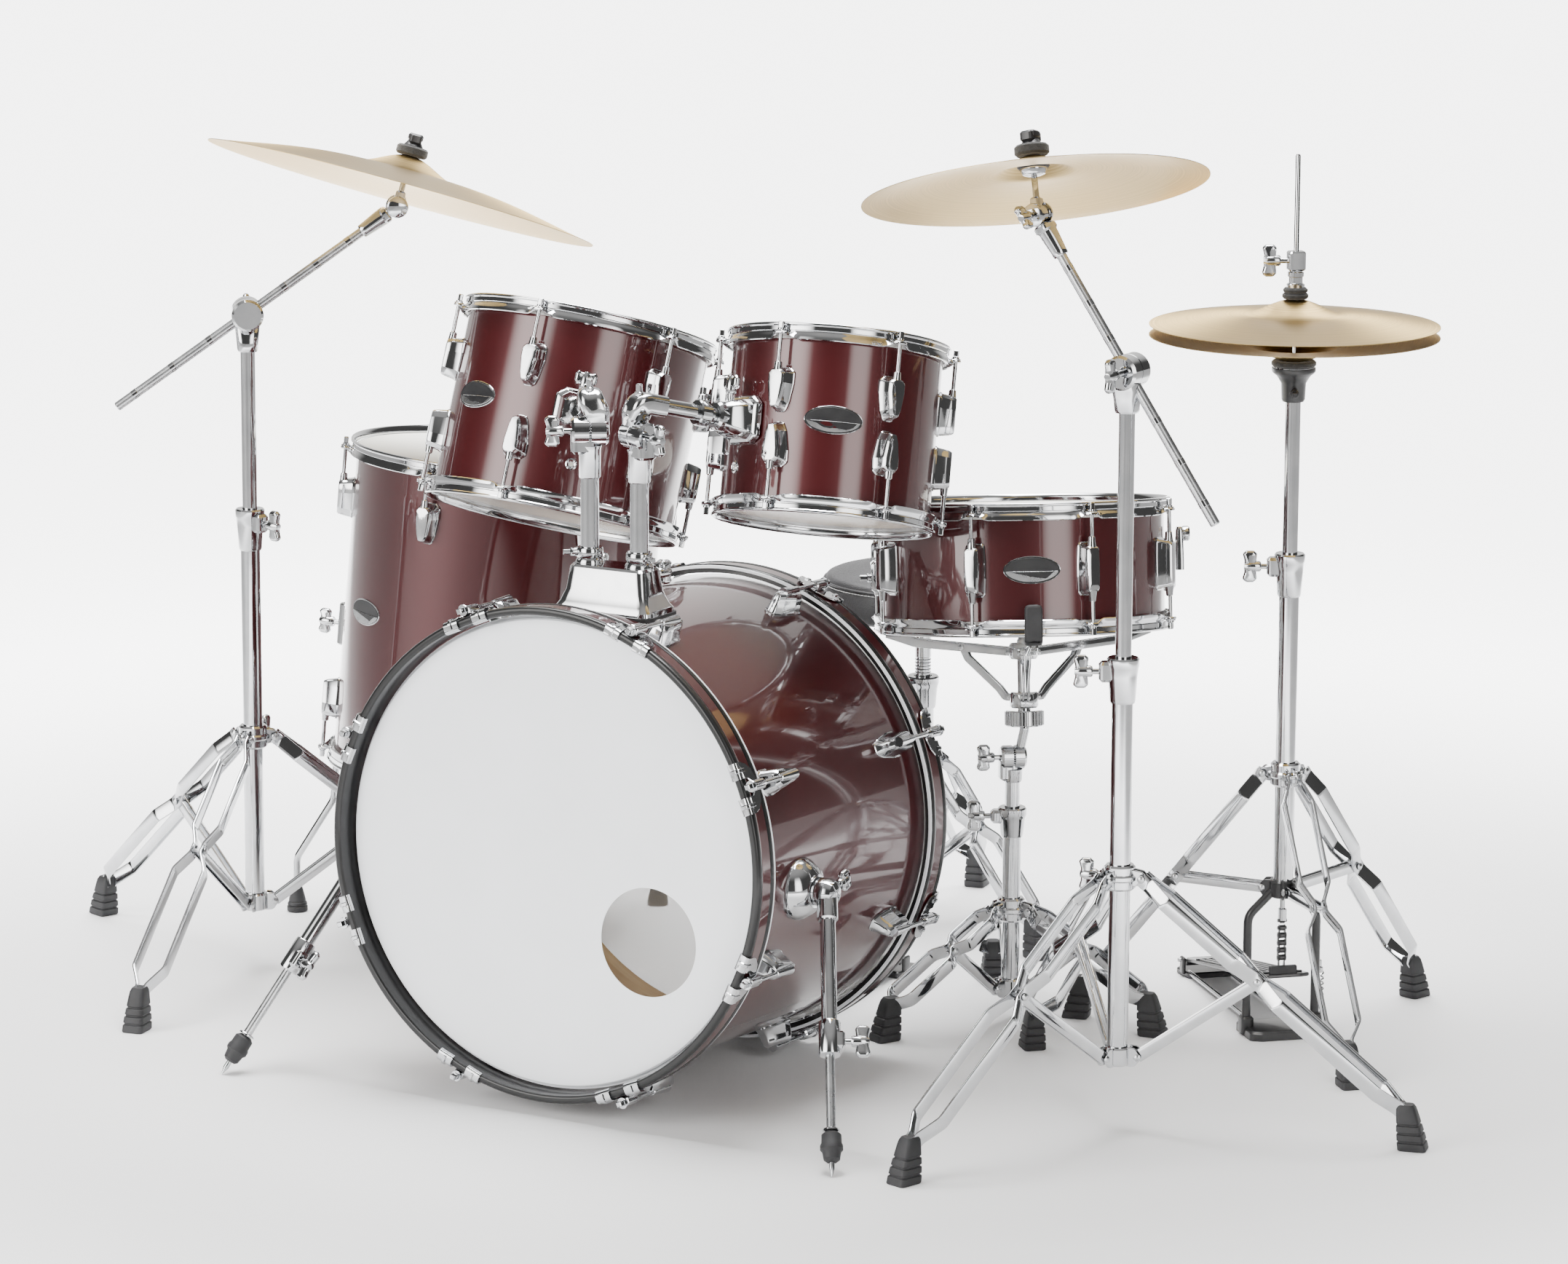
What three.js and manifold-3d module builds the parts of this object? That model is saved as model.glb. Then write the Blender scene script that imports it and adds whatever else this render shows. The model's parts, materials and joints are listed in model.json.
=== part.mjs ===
// Five-piece acoustic drum kit with hardware, cymbals and throne.
// Millimetres, +Z up. The audience side is -Y and the drummer's side is +Y.
import * as THREE from 'three';
import { mergeVertices } from 'three/addons/utils/BufferGeometryUtils.js';
import Module from 'manifold-3d';

const wasm = await Module();
wasm.setup();

// ---------------------------------------------------------------- driving dimensions
const INCH = 25.4;
const GAP = 0.4; // clearance between neighbouring pieces
const FLOOR_CENTRE = [-43, 397]; // middle of the kit's footprint, from the point under the bass drum

const BASS = { radius: 11 * INCH, depth: 16 * INCH, wall: 8, tilt: 2.14, lugs: 8, segments: 28 };
const BASS_HOOP = { outer: 297, width: 38, overhang: 25, lip: 281, inner: 285.5 };
const PORT = { radius: 65, across: 135, rise: -90 };
const SPUR = { y: -102, z: 284, reach: 126, forward: 181, tubeRadius: 9, rodRadius: 5 };
const HOLDER = { x: 6.5, y: -74, width: 130, depth: 66, base: 566, top: 640, postSpacing: 69 };
const POST = { radius: 11, pivotZ: 798, elbowRise: 40 };

const TOMS = {
  left_tom: {
    diameter: 12, depth: 9, centre: [-242, 225.5, 750], axis: [0.0398, 0.3208, 0.9463],
    lugs: 6, lugPhase: -21, postX: -28,
  },
  right_tom: {
    diameter: 10, depth: 8, centre: [162, 172, 778], axis: [-0.0652, 0.2799, 0.9578],
    lugs: 6, lugPhase: -30.5, postX: 41,
  },
};
const FLOOR_TOM = {
  diameter: 16, depth: 16, centre: [-532, 506, 434], axis: [0.0551, 0.0719, 0.9959],
  lugs: 6, lugPhase: -27, legAngles: [188, 63, 306], legBend: 56, legRadius: 4.9,
};
const SNARE = { diameter: 14, depth: 5.5, centre: [263, 478, 578], axis: [-0.0895, 0.1108, 0.9898],
  lugs: 8, lugPhase: -36, strainerAngle: 31.5 };
const HOOP = { rise: 12, skirt: 9, lip: 9 }; // pressed steel hoop, measured from the shell's edge
const LUG = { width: 26, height: 54, protrusion: 22, inset: 42, rodRadius: 2.6, rodOffset: 15 };

const LEG_STRIP = { width: 19, thickness: 3, halfSpread: 9 };
const FOOT = { top: 13, bottom: 22, height: 52 };
const BOOM_STANDS = {
  left_stand: {
    at: [-702, 181], legAngles: [160.4, 280.4, 40.4], collarZ: 305, hubZ: 86, heightCollarZ: 578,
    pivotZ: 856, boomTo: [-548, 296.4, 991.8], behind: 205,
    cymbal: { radius: 254, axis: [0.1314, 0.2883, 0.9485], drop: 18, bow: 27, bellRadius: 64, bellRise: 22 },
  },
  right_stand: {
    at: [606, 81.5], legAngles: [254, 14, 134], collarZ: 302, hubZ: 86, heightCollarZ: 538,
    pivotZ: 900, boomTo: [486.5, 81.7, 1073.8], behind: 205,
    cymbal: { radius: 203, axis: [-0.2324, 0.2174, 0.948], drop: 28, bow: 22, bellRadius: 52, bellRise: 20 },
  },
};
const BOOM_STAND = { footRadius: 355, tubeRadius: 12.5, mastRadius: 9.5, boomRadius: 5 };
const HIHAT = {
  at: [591, 562.5], legAngles: [74.2, 194.2, 314.2], footRadius: 262, collarZ: 332, hubZ: 186,
  heightCollarZ: 584, seatZ: 846, rimZ: 893.6, rimGap: 14, rodTop: 1103, pedalAngle: 134.2,
  cymbal: { radius: 178, bow: 13, bellRadius: 50, bellRise: 19 },
};
const SNARE_STAND = { at: [268, 450], legAngles: [244.9, 4.9, 124.9], footRadius: 195, collarZ: 142,
  hubZ: 41.5, heightCollarZ: 255, tilterZ: 337, armAngles: [61.5, 181.5, 301.5] };
const THRONE = { at: [-64, 820], legAngles: [-20.4, 99.6, 219.6], footRadius: 236, collarZ: 232,
  hubZ: 96, tubeTop: 320, seatRadius: 138, seatBottom: 426, seatTop: 490 };
const PEDAL = { x: 20, frontY: 221, axleY: 275, axleZ: 138, heelY: 560, baseWidth: 160, beaterLength: 185,
  beaterLean: 40 };

// ---------------------------------------------------------------- materials
function paint(color, roughness, metalness) {
  return new THREE.MeshStandardMaterial({ color, roughness, metalness });
}
const MATERIALS = {
  wine: paint(0x4d0f16, 0.15, 0.2),
  chrome: paint(0xd9dde0, 0.12, 1),
  blackHoop: paint(0x0c0c0d, 0.25, 0),
  whiteHead: paint(0xeceef2, 0.6, 0),
  clearHead: paint(0xd8d6cc, 0.3, 0),
  creamHead: paint(0xe8e4d6, 0.5, 0),
  bronze: paint(0xd2b878, 0.3, 0.9),
  blackMetal: paint(0x121213, 0.35, 0.5),
  vinyl: paint(0x17181a, 0.5, 0),
  wires: paint(0xb9bcc0, 0.3, 1),
};

// ---------------------------------------------------------------- solid helpers
const V = (x, y, z) => new THREE.Vector3(x, y, z);
const UP = V(0, 0, 1);
const rad = THREE.MathUtils.degToRad;

function toSolid(geometry, matrix) {
  const bare = geometry.clone();
  bare.deleteAttribute('normal');
  bare.deleteAttribute('uv');
  if (matrix) bare.applyMatrix4(matrix);
  const merged = mergeVertices(bare, 1e-4);
  const mesh = new wasm.Mesh({
    numProp: 3,
    vertProperties: new Float32Array(merged.attributes.position.array),
    triVerts: new Uint32Array(merged.index.array),
  });
  return new wasm.Manifold(mesh);
}

const join = (...solids) => solids.flat().reduce((sum, solid) => sum.add(solid));

function toGeometry(solid) {
  const { vertProperties, triVerts } = solid.getMesh();
  const geometry = new THREE.BufferGeometry();
  geometry.setAttribute('position', new THREE.BufferAttribute(new Float32Array(vertProperties), 3));
  geometry.setIndex(new THREE.BufferAttribute(new Uint32Array(triVerts), 1));
  geometry.computeVertexNormals();
  return geometry;
}

function basis(origin, zAxis, xHint = V(1, 0, 0)) {
  const z = zAxis.clone().normalize();
  const x = xHint.clone().addScaledVector(z, -xHint.dot(z)).normalize();
  const y = z.clone().cross(x);
  return new THREE.Matrix4().makeBasis(x, y, z).setPosition(origin);
}

// cylinder or cone from a to b
function rod(a, b, radius, { end = radius, segments = 10 } = {}) {
  const along = b.clone().sub(a);
  const length = along.length();
  const geometry = new THREE.CylinderGeometry(end, radius, length, segments);
  geometry.rotateX(Math.PI / 2).translate(0, 0, length / 2);
  const hint = Math.abs(along.x) > 0.9 * length ? V(0, 1, 0) : V(1, 0, 0);
  return toSolid(geometry, basis(a, along, hint));
}

function box(width, depth, height, centre, matrix) {
  const geometry = new THREE.BoxGeometry(width, depth, height).translate(centre.x, centre.y, centre.z);
  return toSolid(geometry, matrix);
}

// flat bar from a to b: width lies along side x length, thickness lies along side
function bar(a, b, side, width, thickness) {
  const along = b.clone().sub(a);
  const length = along.length();
  const geometry = new THREE.BoxGeometry(thickness, width, length).translate(0, 0, length / 2);
  return toSolid(geometry, basis(a, along, side));
}

// ring or disc from a closed [radius, z] outline, counter-clockwise with radius to the right
function turned(outline, segments, matrix) {
  const points = outline.map(([r, z]) => new THREE.Vector2(r, z));
  if (outline[0][0] > 0) points.push(points[0].clone());
  const geometry = new THREE.LatheGeometry(points, segments);
  geometry.rotateX(Math.PI / 2);
  const solid = toSolid(geometry, matrix);
  return solid.volume() > 0 ? solid : toSolid(flipped(geometry), matrix);
}

function flipped(geometry) {
  const copy = geometry.clone();
  const index = copy.index.array;
  for (let i = 0; i < index.length; i += 3) [index[i], index[i + 1]] = [index[i + 1], index[i]];
  return copy;
}

function polar(radius, degrees, z = 0) {
  return V(radius * Math.cos(rad(degrees)), radius * Math.sin(rad(degrees)), z);
}

const spin = (degrees) => new THREE.Matrix4().makeRotationZ(rad(degrees));

function wingBolt(at, direction, reach, span = 15) {
  const tip = at.clone().addScaledVector(direction, reach);
  const wings = box(9, span * 2, 7, V(0, 0, reach), basis(at, direction, UP));
  return join(rod(at, tip, 3.5, { segments: 6 }), wings);
}

const kit = new THREE.Group();
kit.position.set(-FLOOR_CENTRE[0], -FLOOR_CENTRE[1], 0);

function addPiece(name, solid, material, group) {
  const mesh = new THREE.Mesh(toGeometry(solid), MATERIALS[material]);
  mesh.name = name;
  group.add(mesh);
}

function placedGroup(matrix) {
  const group = new THREE.Group();
  group.applyMatrix4(matrix);
  kit.add(group);
  return group;
}

// ---------------------------------------------------------------- drums
// Every drum is drawn about its own axis: +Z towards the batter side, middle of the shell at the origin.
function headSolid(radius, edge, hole) {
  const outline = [[0, edge + GAP], [radius + 1, edge + GAP], [radius + 1, edge - 9], [radius + 5, edge - 9],
    [radius + 5, edge + 1.4], [0, edge + 1.4]];
  const head = turned(outline, radius > 250 ? BASS.segments : 20);
  return hole ? head.subtract(hole) : head;
}

function mirroredDown(solid) {
  return solid.mirror([0, 0, 1]);
}

// pressed steel hoop with its ears and tension rods, for the +Z end
function steelHoop(radius, edge, lugAngles, segments, rodEnd) {
  const wall = radius + 2.5;
  const outline = [[wall, edge + 2], [wall, edge + HOOP.rise], [radius + HOOP.lip, edge + HOOP.rise],
    [radius + HOOP.lip, edge - HOOP.skirt], [radius + HOOP.lip - 3, edge - HOOP.skirt],
    [radius + HOOP.lip - 3, edge + 2]];
  const parts = [turned(outline, segments)];
  for (const angle of lugAngles) {
    const turn = spin(angle);
    const ear = box(16, 20, 3, V(radius + LUG.rodOffset - 2, 0, edge - HOOP.skirt + 2), turn);
    const side = 2 * LUG.rodRadius;
    const length = edge - HOOP.skirt + 2.5 - rodEnd;
    parts.push(ear, box(side, side, length, V(radius + LUG.rodOffset, 0, rodEnd + length / 2), turn));
  }
  return join(parts);
}

function lugBlock(radius, low, high, width, protrusion) {
  const middle = (low + high) / 2;
  return box(protrusion + 4, width, high - low, V(radius + (protrusion - 4) / 2, 0, middle));
}

function fanAngles(count, phase) {
  return Array.from({ length: count }, (_, i) => phase + (360 / count) * i);
}

function shellTube(radius, wall, depth, segments) {
  const half = depth / 2;
  return turned([[radius - wall, -half], [radius, -half], [radius, half], [radius - wall, half]], segments);
}

function drum(name, spec, { group, fittings, wall = 6.5, splitLugs = true, top = 'creamHead' }) {
  const radius = (spec.diameter * INCH) / 2;
  const half = (spec.depth * INCH) / 2;
  const angles = fanAngles(spec.lugs, spec.lugPhase);
  const segments = 20;
  const rodEnd = splitLugs ? half - LUG.inset + GAP : 36 + GAP;
  const lugs = angles.flatMap((angle) => {
    const turn = spin(angle);
    if (!splitLugs) return [lugBlock(radius, -36, 36, 20, 20).transform(turn.elements)];
    const high = half - LUG.inset;
    const upper = lugBlock(radius, high - LUG.height, high, LUG.width, LUG.protrusion);
    return [upper.transform(turn.elements), mirroredDown(upper).transform(turn.elements)];
  });
  const shell = join(shellTube(radius, wall, 2 * half, segments), lugs, fittings);
  addPiece(`${name}_shell`, shell, 'wine', group);
  const hoop = steelHoop(radius, half, angles, segments, rodEnd);
  addPiece(`${name}_top_hoop`, hoop, 'chrome', group);
  addPiece(`${name}_bottom_hoop`, mirroredDown(hoop), 'chrome', group);
  const head = headSolid(radius, half);
  addPiece(`${name}_top_head`, head, top, group);
  addPiece(`${name}_bottom_head`, mirroredDown(head), 'clearHead', group);
}

const drumMatrix = (spec) => basis(V(...spec.centre), V(...spec.axis));

// ---------------------------------------------------------------- bass drum
// the rear hoop stands on the floor and the front is lifted by the spurs
function bassMatrix() {
  const tilt = rad(BASS.tilt);
  const length = BASS.depth / 2 + BASS_HOOP.overhang;
  const height = BASS_HOOP.outer * Math.cos(tilt) + length * Math.sin(tilt);
  return basis(V(0, 0, height), V(0, -Math.cos(tilt), Math.sin(tilt)));
}

function bassShellCutter() {
  const reach = BASS.depth;
  const cylinder = rod(V(0, 0, -reach), V(0, 0, reach), BASS.radius + GAP, { segments: BASS.segments });
  return cylinder.transform(bassMatrix().elements);
}

function bassDrum() {
  const half = BASS.depth / 2;
  const length = half + BASS_HOOP.overhang;
  const group = placedGroup(bassMatrix());
  const angles = fanAngles(BASS.lugs, 22.5);
  // local +Z is the audience side and local +Y is up
  const lug = box(22, 26, 44, V(BASS.radius + 8, 0, half - 62));
  const lugs = angles.flatMap((angle) => [
    lug.transform(spin(angle).elements), mirroredDown(lug).transform(spin(angle).elements)]);
  const toLocal = group.matrix.clone().invert();
  const cones = [-1, 1].map((side) => {
    const base = V(side * (BASS.radius - 6), SPUR.y, SPUR.z).applyMatrix4(toLocal);
    const tip = V(side * (BASS.radius + 22), SPUR.y, SPUR.z).applyMatrix4(toLocal);
    return rod(base, tip, 34, { end: 18, segments: 12 });
  });
  const shell = join(shellTube(BASS.radius, BASS.wall, BASS.depth, BASS.segments), lugs, cones);
  addPiece('bass_shell', shell, 'wine', group);

  const { inner, outer, lip, width } = BASS_HOOP;
  const outline = [[inner, length - width], [outer, length - width], [outer, length], [lip, length],
    [lip, half + 3], [inner, half + 3]];
  const parts = [turned(outline, BASS.segments)];
  for (const angle of angles) {
    const turn = spin(angle);
    const claw = box(16, 44, width + 3, V(outer - 3.5, 0, length - width / 2 + 3), turn);
    const shaftLength = BASS_HOOP.overhang + 98;
    const shaft = box(7, 7, shaftLength, V(outer + 7, 0, length + 12 - shaftLength / 2), turn);
    parts.push(claw, shaft);
  }
  const hoop = join(parts);
  addPiece('bass_front_hoop', hoop, 'blackHoop', group);
  addPiece('bass_rear_hoop', mirroredDown(hoop), 'blackHoop', group);
  const port = rod(V(PORT.across, PORT.rise, half - 20), V(PORT.across, PORT.rise, half + 20), PORT.radius,
    { segments: 24 });
  addPiece('bass_front_head', headSolid(BASS.radius, half, port), 'whiteHead', group);
  addPiece('bass_rear_head', mirroredDown(headSolid(BASS.radius, half)), 'clearHead', group);
}

// spurs swing forward about a crosswise pin through the cone on the shell
function spur(name, side) {
  const hubInner = BASS.radius + 22 + GAP;
  const pivot = V(side * (hubInner + 14), SPUR.y, SPUR.z);
  const foot = V(side * (BASS.radius + 20 + SPUR.reach), SPUR.y - SPUR.forward, 1.2);
  const along = foot.clone().sub(pivot);
  const at = (share) => pivot.clone().addScaledVector(along, share);
  const hub = rod(V(side * hubInner, SPUR.y, SPUR.z), V(side * (hubInner + 26), SPUR.y, SPUR.z), 15,
    { segments: 10 });
  const solid = join(hub, rod(at(0), at(0.55), SPUR.tubeRadius, { segments: 8 }),
    rod(at(0.46), at(0.6), 12.5, { segments: 8 }), rod(at(0.55), at(0.86), SPUR.rodRadius, { segments: 6 }),
    rod(at(0.85), at(0.96), 11, { end: 8, segments: 8 }), rod(at(0.95), at(1), 3.5, { end: 1, segments: 6 }),
    wingBolt(at(0.53), V(side * 0.9, 0.43, 0), 24));
  addPiece(name, solid, 'chrome', kit);
}

// ---------------------------------------------------------------- rack toms on the bass drum
function tomHolder(shellCutter) {
  const { x, y, width, depth, base, top } = HOLDER;
  let block = box(width, depth, top - base, V(x, y, (top + base) / 2)).subtract(shellCutter);
  const collars = [];
  for (const tom of Object.values(TOMS)) {
    collars.push(rod(V(tom.postX, y, top - 4), V(tom.postX, y, top + 14), 17, { segments: 10 }));
    collars.push(wingBolt(V(tom.postX, y, top + 5), V(0.5, 0.87, 0), 32, 12));
  }
  block = join(block, collars);
  for (const tom of Object.values(TOMS)) {
    block = block.subtract(rod(V(tom.postX, y, base + 28), V(tom.postX, y, top + 60), POST.radius + 1,
      { segments: 10 }));
  }
  addPiece('tom_holder', block, 'chrome', kit);
}

function tomMount(name, spec) {
  const group = placedGroup(drumMatrix(spec));
  const centre = V(...spec.centre);
  const axis = V(...spec.axis).normalize();
  const elbow = V(spec.postX, HOLDER.y, POST.pivotZ + POST.elbowRise);
  const rise = elbow.clone().sub(centre).dot(axis);
  const inward = centre.clone().addScaledVector(axis, rise).sub(elbow);
  const reach = inward.length();
  inward.normalize();
  // the clamp's wing bolt is on the outer side of each post
  const outer = Math.sign(HOLDER.x - spec.postX);
  const hinge = V(inward.y, -inward.x, 0).normalize().multiplyScalar(outer);
  const pivot = V(spec.postX, HOLDER.y, POST.pivotZ);
  const beside = (amount, up = 0) => pivot.clone().addScaledVector(hinge, amount).add(V(0, 0, up));
  const frame = basis(pivot, UP, hinge);

  const post = join(
    rod(V(spec.postX, HOLDER.y, HOLDER.base + 30), V(spec.postX, HOLDER.y, POST.pivotZ - 18), POST.radius,
      { segments: 10 }),
    rod(beside(-22), beside(-GAP), 17, { segments: 10 }),
    box(21, 20, 30, V(-GAP - 10.5, 0, -17), frame),
    wingBolt(beside(-20), hinge.clone().negate(), 24));
  addPiece(`${name}_post`, post, 'chrome', kit);

  const radius = (spec.diameter * INCH) / 2;
  const arm = join(
    rod(beside(GAP), beside(22), 17, { segments: 10 }),
    box(21, 22, POST.elbowRise + 8, V(GAP + 10.5, 0, (POST.elbowRise + 8) / 2), frame),
    rod(elbow.clone().addScaledVector(inward, -14), elbow.clone().addScaledVector(inward, 32), 13,
      { segments: 10 }),
    rod(elbow, elbow.clone().addScaledVector(inward, reach - radius - 8), 9.5, { segments: 10 }));
  addPiece(`${name}_arm`, arm, 'chrome', kit);

  const toLocal = group.matrix.clone().invert();
  const outward = inward.clone().negate().transformDirection(toLocal);
  const bracketFrame = basis(V(0, 0, rise), outward, V(0, 0, 1));
  const bore = rod(V(0, 0, radius + 6), V(0, 0, radius + 80), 10.6, { segments: 10 });
  const bracket = box(62, 52, 46, V(0, 0, radius + 19), bracketFrame)
    .subtract(bore.transform(bracketFrame.elements));
  drum(name, spec, { group, fittings: [bracket], top: 'clearHead' });
}

// ---------------------------------------------------------------- floor tom on three legs
function floorTom() {
  const group = placedGroup(drumMatrix(FLOOR_TOM));
  const radius = (FLOOR_TOM.diameter * INCH) / 2;
  const legLine = radius + 17;
  const brackets = FLOOR_TOM.legAngles.map((angle) => {
    const block = box(34, 30, 62, V(radius + 12, 0, -50), spin(angle));
    const bore = rod(V(legLine, 0, -100), V(legLine, 0, 40), FLOOR_TOM.legRadius + 0.9, { segments: 8 });
    return block.subtract(bore.transform(spin(angle).elements));
  });
  drum('floor_tom', FLOOR_TOM, { wall: 7, fittings: brackets, group, top: 'creamHead' });
  FLOOR_TOM.legAngles.forEach((angle, i) => {
    const down = (z, extra = 0) => polar(legLine + extra, angle, z).applyMatrix4(group.matrix);
    const bendTop = down(-290);
    const outward = polar(FLOOR_TOM.legBend, angle);
    const bendEnd = bendTop.clone().add(outward).setZ(74);
    const foot = V(bendEnd.x, bendEnd.y, 0);
    const stretch = (from, to) => rod(from, to, FLOOR_TOM.legRadius, { segments: 8 });
    const leg = join(stretch(down(4), bendTop), stretch(bendTop.clone().add(V(0, 0, 3)),
      bendEnd.clone().add(V(0, 0, -3))), stretch(bendEnd, foot.clone().setZ(10)),
    rod(foot, foot.clone().setZ(40), 14, { end: 8, segments: 10 }));
    addPiece(`floor_tom_leg_${i + 1}`, leg, 'chrome', kit);
  });
}

// ---------------------------------------------------------------- tripods
// double-braced tripod with a hollow upright; returns one solid drawn about the upright
function tripod(spec) {
  const { legAngles, footRadius, collarZ, hubZ, tubeRadius, bore, top, cap = 26, bottom = hubZ - 12 } = spec;
  const ringRadius = tubeRadius + 5;
  const rings = [[bottom, hubZ + 11], [collarZ - 14, collarZ + 14], [top - cap, top + cap]];
  const outside = rings.flatMap(([low, high]) => [
    [tubeRadius, low], [ringRadius, low], [ringRadius, high], [tubeRadius, high]]);
  const upright = turned([[bore, bottom], ...outside.slice(1, -1), [bore, top + cap]], 8);
  const parts = [upright];
  const kneeRadius = footRadius * 0.52;
  const earWidth = 2 * LEG_STRIP.halfSpread + LEG_STRIP.thickness;
  for (const angle of legAngles) {
    const turn = spin(angle);
    const side = V(0, 1, 0);
    const shoulder = V(tubeRadius + 16, 0, collarZ);
    const end = V(footRadius - 8, 0, FOOT.height - 8);
    const slope = (shoulder.z - end.z) / (end.x - shoulder.x);
    const knee = V(kneeRadius, 0, shoulder.z - slope * (kneeRadius - shoulder.x));
    const hub = V(tubeRadius + 14, 0, hubZ);
    const strips = [-1, 1].map((s) => {
      const offset = V(0, s * LEG_STRIP.halfSpread, 0);
      const [from, to] = [shoulder.clone().add(offset), end.clone().add(offset)];
      return bar(from, to, side, LEG_STRIP.width, LEG_STRIP.thickness);
    });
    const brace = bar(hub, knee, side, LEG_STRIP.width, LEG_STRIP.thickness);
    const kneePin = box(6, earWidth, 6, knee);
    const ears = [box(tubeRadius + 4, earWidth, 16, V(tubeRadius + 6, 0, collarZ)),
      box(tubeRadius, 7, 12, V(tubeRadius + 6, 0, hubZ))];
    const foot = rod(V(footRadius + 2, 0, -10), V(footRadius - 10, 0, FOOT.height), FOOT.bottom,
      { end: FOOT.top, segments: 4 });
    parts.push(...[...strips, brace, kneePin, ...ears, foot].map((solid) => solid.transform(turn.elements)));
  }
  const floorCut = box(4 * footRadius, 4 * footRadius, 60, V(0, 0, -30));
  const boreCut = rod(V(0, 0, -40), V(0, 0, top + cap + 5), bore, { segments: 8 });
  return join(parts).subtract(floorCut).subtract(boreCut);
}

// ---------------------------------------------------------------- cymbals
// shallow bowed disc with a bell, drawn about its stem: rim plane at z = 0, crown upwards
function cymbalSolid({ radius, bow, bellRadius, bellRise }, segments = 26) {
  const sheet = 1.6;
  const hole = 6.5;
  const top = [[radius, 0], [radius * 0.65, bow * 0.6], [bellRadius, bow],
    [bellRadius * 0.7, bow + bellRise * 0.75], [hole, bow + bellRise]];
  const under = top.map(([r, z]) => [r, z - sheet]).reverse();
  return turned([...top, ...under], segments);
}

const crownHeight = ({ bow, bellRise }) => bow + bellRise;

// ---------------------------------------------------------------- boom cymbal stands
function boomStand(name, spec) {
  const { tubeRadius, mastRadius, boomRadius, footRadius } = BOOM_STAND;
  const [x, y] = spec.at;
  const group = placedGroup(new THREE.Matrix4().makeTranslation(x, y, 0));
  const pivot = V(0, 0, spec.pivotZ);
  const tip = V(...spec.boomTo).sub(V(x, y, 0));
  const along = tip.clone().sub(pivot);
  const reach = along.length();
  along.normalize();
  const azimuth = THREE.MathUtils.radToDeg(Math.atan2(along.y, along.x));
  const flat = polar(1, azimuth);
  const hinge = V(flat.y, -flat.x, 0);
  const yokeFrame = basis(pivot, UP, hinge);

  const base = join(
    tripod({ ...spec, footRadius, tubeRadius, bore: mastRadius + 1.2, top: spec.heightCollarZ }),
    wingBolt(V(0, 0, spec.heightCollarZ), V(-0.87, -0.5, 0), 34)
      .subtract(rod(V(0, 0, 0), V(0, 0, 1000), mastRadius + 3)));
  addPiece(`${name}_base`, base, 'chrome', group);

  const cheek = (s) => box(6, 26, 62, V(s * 16, 0, -16), yokeFrame);
  const mast = join(
    rod(V(0, 0, spec.heightCollarZ - 210), V(0, 0, spec.pivotZ - 40), mastRadius, { segments: 12 }),
    box(38, 26, 12, V(0, 0, -42), yokeFrame), cheek(-1), cheek(1),
    wingBolt(pivot.clone().addScaledVector(hinge, -18), hinge.clone().negate(), 26));
  addPiece(`${name}_mast`, mast, 'chrome', group);

  // the boom stops short of the ratchet that carries the cymbal
  const boomEnd = tip.clone().addScaledVector(along, -16);
  const barrel = rod(pivot.clone().addScaledVector(hinge, -12), pivot.clone().addScaledVector(hinge, 12), 13,
    { segments: 12 });
  const boomFrame = basis(tip, along, hinge);
  const fork = join(box(26, 14, 10, V(0, 0, -19), boomFrame), box(4, 14, 30, V(-11, 0, -6), boomFrame),
    box(4, 14, 30, V(11, 0, -6), boomFrame));
  const shaft = rod(pivot.clone().addScaledVector(along, -spec.behind), boomEnd, boomRadius, { segments: 8 });
  const boom = join(shaft, barrel, fork);
  addPiece(`${name}_boom`, boom, 'chrome', group);

  const { cymbal } = spec;
  const stemAxis = V(...cymbal.axis).normalize();
  const stem = (height) => tip.clone().addScaledVector(stemAxis, cymbal.drop + height);
  const crown = crownHeight(cymbal);
  const ratchet = rod(tip.clone().addScaledVector(hinge, -8.5), tip.clone().addScaledVector(hinge, 8.5), 8,
    { segments: 8 });
  const mount = join(
    ratchet,
    rod(tip, stem(crown + 34), 3.6, { segments: 6 }),
    rod(stem(crown - 11), stem(crown - 3.8), 15, { segments: 8 }),
    rod(stem(crown - 20), stem(crown - 10.5), 9, { segments: 8 }),
    rod(stem(crown + GAP), stem(crown + 10), 15, { segments: 8 }),
    rod(stem(crown + 9), stem(crown + 22), 8, { end: 6, segments: 6 }),
    box(34, 6, 12, V(0, 0, cymbal.drop + crown + 24), basis(tip, stemAxis, hinge)));
  addPiece(`${name}_cymbal_mount`, mount, 'chrome', group);

  const cymbalGroup = new THREE.Group();
  cymbalGroup.applyMatrix4(basis(stem(0), stemAxis));
  group.add(cymbalGroup);
  addPiece(`${name}_cymbal`, cymbalSolid(cymbal), 'bronze', cymbalGroup);
}

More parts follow.
